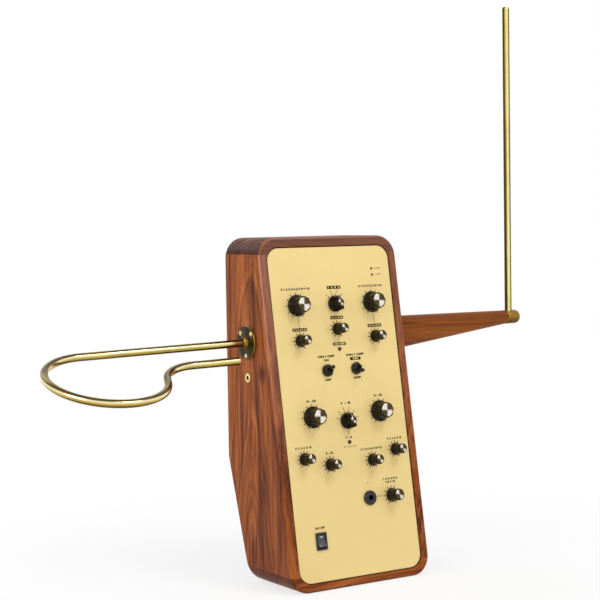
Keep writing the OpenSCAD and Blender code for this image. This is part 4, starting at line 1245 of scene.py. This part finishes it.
class THEREMIN_OT_knobs(Operator):
    """Makes the fluted knobs with their spun discs"""
    bl_idname = "theremin.knobs"
    bl_label = "Fluted knobs"

    def execute(self, context):
        mix_finishes(context.scene)
        trim = context.scene.theremin_trim
        tree = flute_tree()
        for node, (kind, x, up) in KNOBS.items():
            if kind == "pointer":
                continue
            place = plate_place(x, up)
            large = kind == "large"
            self.body(node, place, tree, KNOB_SIZES[kind], trim, 32 if large else 24)
            skirt, _, disc, _, _ = KNOB_SIZES[kind]
            make_disc(node, place, disc, KNOB_TOP, "large_disc" if large else "small_disc")
            self.index_mark(node, plate_place(x, up, -INDEX_REST), skirt, large)
        return {"FINISHED"}

    def body(self, node, place, tree, sizes, trim, steps):
        """Turned skirt and tapering grip, closely meshed so that the tree can flute it."""
        skirt, grip, disc, flute, depth = sizes
        neck = min(grip + 1.2, skirt - 0.9)
        top = KNOB_TOP - 0.2
        profile = rounded([
            (0, 3.2), (grip - 3.2, 3.2), (grip - 2.4, 0.5), (skirt - 0.15, 0.5), (skirt, 0.75),
            (skirt, 1.8), (skirt - 0.7, 2.5), (neck, 3.7), (grip, 4.6)], 0.3)
        wall = [(grip - 0.4 * i / 12, 4.6 + (top - 5.2) * i / 12) for i in range(1, 13)]
        crown = [(grip - 0.46, top - 0.35), (grip - 0.62, top - 0.12), (grip - 0.95, top),
                 (disc + 0.25, top), (disc + 0.1, top - 0.1), (disc + 0.03, top - 0.5),
                 (0, top - 0.5)]
        shape = lathe(profile + wall + crown, steps * trim.flutes // 2)
        bmesh.ops.recalc_face_normals(shape, faces=shape.faces)
        piece = grow(node + "_body", as_mesh(shape, node), tree, {
            "Count": trim.flutes, "Depth": depth * trim.flute_depth, "Flute": flute,
            "Grip": grip, "Low": 4.9, "Run in": 1.1, "Inner": disc + 0.2})
        put_in_place(piece, place, node, (node,), 34.0)

    def index_mark(self, node, place, skirt, large):
        radius = 0.75 if large else 0.42
        at = skirt - (1.5 if large else 0.95)
        dot = lathe([(0, -0.3), (radius, -0.3), (radius, 0.12), (radius * 0.7, 0.2), (0, 0.22)], 20)
        settle(dot, node + "_index", place @ Matrix.Translation((0, at, 2.75)), "mark", node)


def make_disc(node, place, radius, top, finish):
    """Thin spun disc let into a knob's top, with a small chamfer and a shallow dish."""
    profile = [(0, top - 0.72), (radius, top - 0.72), (radius, top - 0.12),
               (radius - 0.2, top)]
    profile += [(radius * (1 - i / 10), top - 0.05 * math.sin(math.pi * i / 10))
                for i in range(1, 10)]
    profile += [(0, top - 0.02)]
    settle(lathe(profile, 72), node + "_disc", place, finish, node, turned=True)


class THEREMIN_OT_pointers(Operator):
    """Makes the two pointer knobs"""
    bl_idname = "theremin.pointers"
    bl_label = "Pointer knobs"

    def execute(self, context):
        mix_finishes(context.scene)
        for node, (kind, x, up) in KNOBS.items():
            if kind != "pointer":
                continue
            place = plate_place(x, up, DETENT / 2)
            top = POINTER_TOP - 0.2
            shape = lathe(rounded([
                (0, 3), (6.5, 3), (7.2, 0.5), (10.2, 0.5), (10.2, 2.4), (9.2, 3.4), (5.7, 4.0),
                (5.2, top - 0.8), (4.8, top), (4.14, top), (4.03, top - 0.5), (0, top - 0.5)],
                0.3), 72)
            merge(shape, self.bar(top))
            settle(shape, node + "_body", place, "knob", node, (node,),
                   bevel=0.25)
            make_disc(node, plate_place(x, up), 4.0, POINTER_TOP, "small_disc")
            line = prism(rounded_outline(0.9, 3.6, 0.3, 3), -0.12, 0.1)
            settle(line, node + "_line", place @ Matrix.Translation((0, 6.6, top - 0.27)),
                   "dim_mark", node)
        return {"FINISHED"}

    def bar(self, top):
        """Tapered bar across the skirt with an open middle for the boss."""
        end = 9.3
        shape = bmesh.new()
        for way, tip in ((1, 7.9), (-1, 7.8)):
            rows = []
            for z, out, wide in ((3.0, end, 3.35), (8.0, end - 0.25, 2.98),
                                 (top - 1.6, end - 0.45, 2.62), (top - 0.9, tip + 0.5, 2.57),
                                 (top - 0.3, tip, 2.5)):
                corner = min(out, math.sqrt(max(end * end - wide * wide, 0.0)))
                row = [(wide, 4.3), (wide, corner), (wide * 0.5, out - 0.06), (0, out),
                       (-wide * 0.5, out - 0.06), (-wide, corner), (-wide, 4.3)]
                rows.append([shape.verts.new((x, way * y, z)) for x, y in row])
            skin(shape, rows)
            shape.faces.new(rows[0][::-1])
            shape.faces.new(rows[-1])
        return shape


# ---- Small controls ----

class THEREMIN_OT_toggles(Operator):
    """Makes the toggle switches with their threaded bushings and bat levers"""
    bl_idname = "theremin.toggles"
    bl_label = "Toggle switches"

    def execute(self, context):
        mix_finishes(context.scene)
        tree = thread_tree("black_metal")
        for side, (x, up, throw) in TOGGLES.items():
            place = plate_place(x, up, 8.0 if throw > 0 else 20.0)
            shape = lathe([(4.5, 0), (7.4, 0), (7.6, 0.25), (7.4, 0.5), (4.5, 0.5)], 56, ring=True)
            merge(shape, prism(hexagon(NUT_ACROSS), 0.5, 2.9))
            settle(shape, side + "_nut", place, "black_metal", "cabinet",
                   bevel=0.35)
            thread = [(4.4, i * 0.12) for i in range(24, 45)]
            profile = [(3.2, 2.6), (4.4, 2.6)] + thread + [
                (4.15, 5.45), (3.9, 5.5), (3.72, 5.4), (3.1, 2.7)]
            bushing = lathe(profile, 64, ring=True)
            bmesh.ops.recalc_face_normals(bushing, faces=bushing.faces)
            piece = grow(side + "_bushing", as_mesh(bushing, side), tree, {
                "Pitch": 0.62, "Depth": 0.22, "Low": 2.8, "High": 5.35, "Inner": 4.2})
            put_in_place(piece, place, "cabinet", (side + "_switch",))
            body = prism(rounded_outline(9, 13, 0.6, 3), -11.5, -2.55)
            settle(body, side + "_case", plate_place(x, up), "black_metal", "cabinet",
                   bevel=0.2)
            self.lever(side, x, up, throw)
        return {"FINISHED"}

    def lever(self, side, x, up, throw):
        place = (plate_place(x, up) @ Matrix.Translation((0, 0, -1))
                 @ Matrix.Rotation(math.radians(-throw), 4, "X"))
        ball_r, tip_r = 2.9, 2.4
        ball = [(ball_r * math.sin(math.radians(a)), -ball_r * math.cos(math.radians(a)))
                for a in range(0, 151, 10)]
        neck = [(1.66, 2.6), (1.78, 4.5), (2.0, 8.0), (2.2, 12.0), (2.38, 15.0)]
        tip = [(tip_r * math.cos(math.radians(a)), 15.5 + tip_r * math.sin(math.radians(a)))
               for a in range(0, 90, 9)] + [(0, 15.5 + tip_r)]
        settle(lathe(ball + neck + tip, 40), side + "_bat", place, "black_metal",
               side + "_lever", (side + "_lever",), angle=50)


class THEREMIN_OT_small_controls(Operator):
    """Makes the push buttons and the indicator lenses"""
    bl_idname = "theremin.small_controls"
    bl_label = "Buttons and indicators"

    def execute(self, context):
        mix_finishes(context.scene)
        for node, (x, up) in BUTTONS.items():
            profile = rounded([(0, -6), (2.3, -6), (2.3, 1.0), (1.7, 1.3), (0, 1.15)], 0.4, 4)
            settle(lathe(profile, 40), node + "_cap", plate_place(x, up), "button", node,
                   (node,))
        for node, (x, up) in INDICATORS.items():
            dome = [(1.45 * math.cos(math.radians(a)), 0.2 + 0.9 * math.sin(math.radians(a)))
                    for a in range(0, 90, 10)] + [(0, 1.1)]
            shape = lathe([(0, -8), (1.45, -8)] + dome, 32)
            settle(shape, node + "_lens", plate_place(x, up), "lens", "cabinet",
                   (node,))
        return {"FINISHED"}


class THEREMIN_OT_sockets(Operator):
    """Makes the headphone socket and the sockets on the back"""
    bl_idname = "theremin.sockets"
    bl_label = "Sockets"

    def execute(self, context):
        mix_finishes(context.scene)
        place = plate_place(*HEADPHONE_AT)
        self.bushing("headphone_socket_bushing", place, 2.5, 3.6, ("headphone_socket",))
        self.ring_nut(place)
        for i, x in enumerate(REAR_SOCKETS_X):
            spot = slant_place(x, REAR_ROW)
            self.bushing("rear_socket_bushing_%d" % (i + 1), spot, 2.0, 4.5,
                         ("rear_sockets",) if i == 0 else ())
            shape = prism(hexagon(NUT_ACROSS), 0.6, 2.9)
            merge(shape, lathe([(5.6, 0), (8.2, 0), (8.4, 0.3), (8.2, 0.6), (5.6, 0.6)], 48,
                               ring=True))
            settle(shape, "rear_socket_nut_%d" % (i + 1), spot, "steel", "cabinet",
                   bevel=0.3)
        self.inlet(slant_place(INLET_X, REAR_ROW))
        return {"FINISHED"}

    def bushing(self, name, place, wall, high, stands_for):
        """Square case behind the panel and the bored bushing with its contact inside."""
        low, bore = -wall - 22, SOCKET_BORE_R
        profile = rounded([(bore, low + 0.5), (5.35, low + 0.5), (5.35, high - 0.4),
                           (5.0, high), (3.9, high), (bore, high - 0.5)], 0.15, 2)
        shape = lathe(profile, 56, ring=True)
        merge(shape, lathe([(5.4, low + 0.1), (7.4, low + 0.1), (7.4, -wall - 0.05),
                            (5.4, -wall - 0.05)], 4, ring=True),
              Matrix.Rotation(math.pi / 4, 4, "Z"))
        merge(shape, lathe([(0, low), (bore + 0.02, low), (bore + 0.02, low + 3),
                            (0, low + 3)], 40))
        settle(shape, name, place, "socket", "cabinet", stands_for)

    def ring_nut(self, place):
        profile = rounded([(5.5, 0), (9.05, 0), (9.05, 1.9), (8.1, 3.15), (5.5, 3.15)], 0.3, 3)
        shape = lathe(profile, 96, ring=True)
        settle(shape, "headphone_ring_nut", place, "socket", "cabinet",
               ("headphone_socket_nut",))

    def inlet(self, place):
        profile = rounded([(2.85, -9.4), (3.95, -9.4), (3.95, 2.9), (3.6, 3.1), (2.85, 2.9)],
                          0.15, 2)
        shape = lathe(profile, 48, ring=True)
        merge(shape, lathe([(0, -9.45), (2.9, -9.45), (2.9, -9.0), (1.0, -9.0), (1.0, 0.6),
                            (0.7, 1.0), (0, 1.0)], 32))
        settle(shape, "power_inlet_barrel", place, "steel", "cabinet")
        copy_of("power_inlet", "power_inlet_case", "socket", bevel=0.2)


class THEREMIN_OT_power_switch(Operator):
    """Makes the power rocker and its bezel"""
    bl_idname = "theremin.power_switch"
    bl_label = "Power switch"

    def execute(self, context):
        mix_finishes(context.scene)
        place = plate_place(*POWER_AT)
        copy_of("power_switch_housing", "power_bezel", "socket", bevel=0.45,
                steps=3)
        tilt = (place @ Matrix.Translation((0, 0, -0.5))
                @ Matrix.Rotation(math.radians(-10), 4, "X"))
        half = 7.4
        curve = [(half * (i / 12 - 1), 2.9 - 1.2 * math.sin(math.pi / 2 * i / 12))
                 for i in range(13)]
        curve += [(-y, z) for y, z in curve[-2::-1]]
        outline = [(-half, -2.0)] + curve + [(half, -2.0), (0, -5.5)]
        shape = bmesh.new()
        ends = [[shape.verts.new((x, y, z)) for y, z in outline] for x in (-5.1, 5.1)]
        shape.faces.new(ends[0])
        shape.faces.new(ends[1][::-1])
        skin(shape, ends)
        settle(shape, "power_rocker_cap", tilt, "rocker", "power_rocker",
               ("power_rocker",), bevel=0.3, angle=28)
        dash = prism(rounded_outline(4.4, 0.8, 0.3, 3), 0.0, 0.1)
        settle(dash, "power_rocker_mark", tilt @ Matrix.Translation((0, 4.9, 2.28))
               @ Matrix.Rotation(math.radians(10), 4, "X"), "mark", "power_rocker")
        return {"FINISHED"}


# ---- Antennas ----

class THEREMIN_OT_loop(Operator):
    """Bends the volume loop from one length of tube"""
    bl_idname = "theremin.loop"
    bl_label = "Volume loop"

    def execute(self, context):
        mix_finishes(context.scene)
        mesh = bpy.data.meshes.new("loop_line")
        line = self.centre_line()
        mesh.from_pydata(line, [(i, i + 1) for i in range(len(line) - 1)], [])
        piece = grow("volume_loop_tube", mesh, self.tube_tree(), {"Radius": TUBE_R})
        place = (Matrix.Scale(MM, 4) @ Matrix.Translation((-CABINET_W / 2, ANTENNA_Y, ANTENNA_H))
                 @ Matrix.Rotation(math.pi, 4, "Z") @ Matrix.Rotation(LOOP_DROOP, 4, "Y")
                 @ Matrix.Rotation(-LOOP_TILT, 4, "X"))
        put_in_place(piece, place, "volume_loop", ("volume_loop",), 50.0)
        return {"FINISHED"}

    def centre_line(self):
        """Points along the tube's middle, in the plane of the loop."""
        at, heading = Vector((-LOOP_INSERT, 0.0)), 0.0
        line = [at.copy()]

        def straight(length, steps):
            nonlocal at
            start = at.copy()
            ahead = Vector((math.cos(heading), math.sin(heading)))
            for i in range(1, steps + 1):
                at = start + ahead * (length * i / steps)
                line.append(at.copy())

        def arc(radius, degrees, steps):
            nonlocal at, heading
            side = math.copysign(1.0, degrees)
            centre = at + Vector((-math.sin(heading), math.cos(heading))) * radius * side
            start = heading
            for i in range(1, steps + 1):
                heading = start + math.radians(degrees) * i / steps
                at = centre - Vector((-math.sin(heading), math.cos(heading))) * radius * side
                line.append(at.copy())

        straight(LOOP_LEG + LOOP_INSERT, 12)
        arc(LOOP_BEND_R, LOOP_BEND, 96)
        straight(LOOP_LINK, 2)
        arc(RETURN_R, 180.0 - LOOP_BEND, 28)
        straight(at.x - LOOP_END_GAP, 6)
        return [(p.x, p.y, 0.0) for p in line]

    def tube_tree(self):
        """Sweeps a round section along the line and closes its ends."""
        tree, given = new_tree("bent_tube", {"Radius": 4.76, "Sides": 40})
        path = put(tree, "GeometryNodeMeshToCurve", {"Mesh": given["Geometry"]})
        section = put(tree, "GeometryNodeCurvePrimitiveCircle", {
            "Resolution": given["Sides"], "Radius": given["Radius"]})
        swept = put(tree, "GeometryNodeCurveToMesh", {
            "Curve": path[0], "Profile Curve": section[0], "Fill Caps": True})
        return end_tree(tree, swept[0], "tube")


class THEREMIN_OT_flange(Operator):
    """Makes the wall flange, its screws and the small bushing below it"""
    bl_idname = "theremin.flange"
    bl_label = "Volume flange"

    def execute(self, context):
        mix_finishes(context.scene)
        copy_of("volume_flange", "flange", "old_brass", bevel=0.25, angle=35.0)
        places = [Matrix.Rotation(math.radians(90 - angle), 4, "Z")
                  @ Matrix.Translation((FLANGE_SCREW_RING, 0, 2.6))
                  @ Matrix.Rotation(math.radians(slot_turn), 4, "Z")
                  for angle, slot_turn in FLANGE_SCREWS]
        piece = grow("flange_screws", points_mesh("flange_screws", places),
                     screw_tree("brass", True), {"Radius": 2.95, "Height": 1.2, "Slot": 0.75})
        put_in_place(piece, left_place(ANTENNA_Y, ANTENNA_H), "cabinet",
                    ("volume_flange_screws",))
        profile = rounded([(2.6, -9.9), (4.45, -9.9), (4.45, 0.02), (5.75, 0.02), (5.75, 0.6),
                           (5.2, 1.2), (3.1, 1.2), (2.6, 0.8)], 0.25, 3)
        shape = lathe(profile, 56, ring=True)
        settle(shape, "side_bushing_ring", left_place(ANTENNA_Y, BUSHING_H), "brass",
               "cabinet", ("side_bushing",))
        dark = lathe([(0, -9.9), (2.62, -9.9), (2.62, -9.0), (0, -9.0)], 32)
        settle(dark, "side_bushing_floor", left_place(ANTENNA_Y, BUSHING_H), "black_metal",
               "cabinet")
        return {"FINISHED"}


class THEREMIN_OT_rod(Operator):
    """Makes the pitch rod and the end cap that carries it"""
    bl_idname = "theremin.rod"
    bl_label = "Pitch rod"

    def execute(self, context):
        mix_finishes(context.scene)
        bottom = ARM_TIP_Z + CAP_R - ROD_INSERT
        tip_r = 2.4
        crown = [(TUBE_R - tip_r + tip_r * math.cos(math.radians(a)),
                  ROD_LEN - tip_r + tip_r * math.sin(math.radians(a))) for a in range(0, 91, 10)]
        profile = [(0, 0), (TUBE_R - 0.6, 0), (TUBE_R, 0.6)] + [
            (TUBE_R, 0.6 + (ROD_LEN - 3.0) * i / 24) for i in range(1, 25)] + crown[1:] + [
            (0, ROD_LEN)]
        settle(lathe(profile, 56), "rod", upright_place(ROD_X, ANTENNA_Y, bottom), "rod",
               "pitch_rod", ("pitch_rod",), angle=50)
        copy_of("pitch_arm_cap", "arm_cap", "cap", bevel=0.15, angle=35.0)
        return {"FINISHED"}


# ---- Back and base ----

class THEREMIN_OT_back(Operator):
    """Finishes the socket panel on the back, its screws and the stand socket"""
    bl_idname = "theremin.back"
    bl_label = "Back and base"

    def execute(self, context):
        mix_finishes(context.scene)
        copy_of("rear_socket_panel", "rear_panel", "back_panel", bevel=0.2)
        copy_of("stand_socket", "stand_insert", "steel", bevel=0.25)
        x = (CABINET_W - 2 * SIDE_T) / 2 - 6.0
        slant = KINK_H / math.cos(BACK_SLOPE)
        to_mm = Matrix.Scale(1 / MM, 4)
        places = []
        turn, turn_step = 15, 37
        for side in (-1, 1):
            for z in (KINK_H + 22, (KINK_H + CABINET_H - END_T) / 2, CABINET_H - END_T - 14):
                turn += turn_step
                places.append(Matrix.Translation((side * x, FRONT_Y + BACK_DEPTH, z))
                              @ Matrix.Rotation(math.radians(-90), 4, "X")
                              @ Matrix.Rotation(math.radians(turn), 4, "Z"))
            for up in (34, slant - 24):
                turn += turn_step
                places.append(to_mm @ slant_place(side * x, up)
                              @ Matrix.Rotation(math.radians(turn), 4, "Z"))
        piece = grow("back_screw_heads", points_mesh("back_screw_heads", places),
                     screw_tree("steel", False), {"Radius": 3.2, "Height": 1.8, "Slot": 0.8})
        put_in_place(piece, Matrix.Scale(MM, 4), "cabinet", ("back_screws",))
        return {"FINISHED"}


# ---- Add-on ----

class THEREMIN_PT_panel(Panel):
    bl_idname = "THEREMIN_PT_panel"
    bl_label = "Theremin"
    bl_space_type = "VIEW_3D"
    bl_region_type = "UI"
    bl_category = "Theremin"

    def draw(self, context):
        layout = self.layout
        scene = context.scene
        for settings in (scene.theremin_wood, scene.theremin_metal, scene.theremin_trim,
                         scene.theremin_stage):
            box = layout.box()
            for key in settings.__annotations__:
                box.prop(settings, key)
        for operator in OPERATORS:
            layout.operator(operator.bl_idname)


SETTINGS = {
    "theremin_wood": ThereminWood,
    "theremin_metal": ThereminMetal,
    "theremin_trim": ThereminTrim,
    "theremin_stage": ThereminStage,
}
OPERATORS = (
    THEREMIN_OT_stage, THEREMIN_OT_cabinet, THEREMIN_OT_inside, THEREMIN_OT_plate,
    THEREMIN_OT_knobs, THEREMIN_OT_pointers, THEREMIN_OT_toggles, THEREMIN_OT_small_controls,
    THEREMIN_OT_sockets, THEREMIN_OT_power_switch, THEREMIN_OT_loop, THEREMIN_OT_flange,
    THEREMIN_OT_rod, THEREMIN_OT_back,
)


def register():
    for group in SETTINGS.values():
        bpy.utils.register_class(group)
    for key, group in SETTINGS.items():
        setattr(bpy.types.Scene, key, PointerProperty(type=group))
    for made in OPERATORS + (THEREMIN_PT_panel,):
        bpy.utils.register_class(made)


def unregister():
    for made in reversed(OPERATORS + (THEREMIN_PT_panel,)):
        bpy.utils.unregister_class(made)
    for key in SETTINGS:
        delattr(bpy.types.Scene, key)
    for group in reversed(list(SETTINGS.values())):
        bpy.utils.unregister_class(group)


def main():
    register()
    bpy.ops.theremin.stage()
    bpy.ops.theremin.cabinet()
    bpy.ops.theremin.inside()
    bpy.ops.theremin.plate()
    bpy.ops.theremin.knobs()
    bpy.ops.theremin.pointers()
    bpy.ops.theremin.toggles()
    bpy.ops.theremin.small_controls()
    bpy.ops.theremin.sockets()
    bpy.ops.theremin.power_switch()
    bpy.ops.theremin.loop()
    bpy.ops.theremin.flange()
    bpy.ops.theremin.rod()
    bpy.ops.theremin.back()


if __name__ == "__main__":
    main()
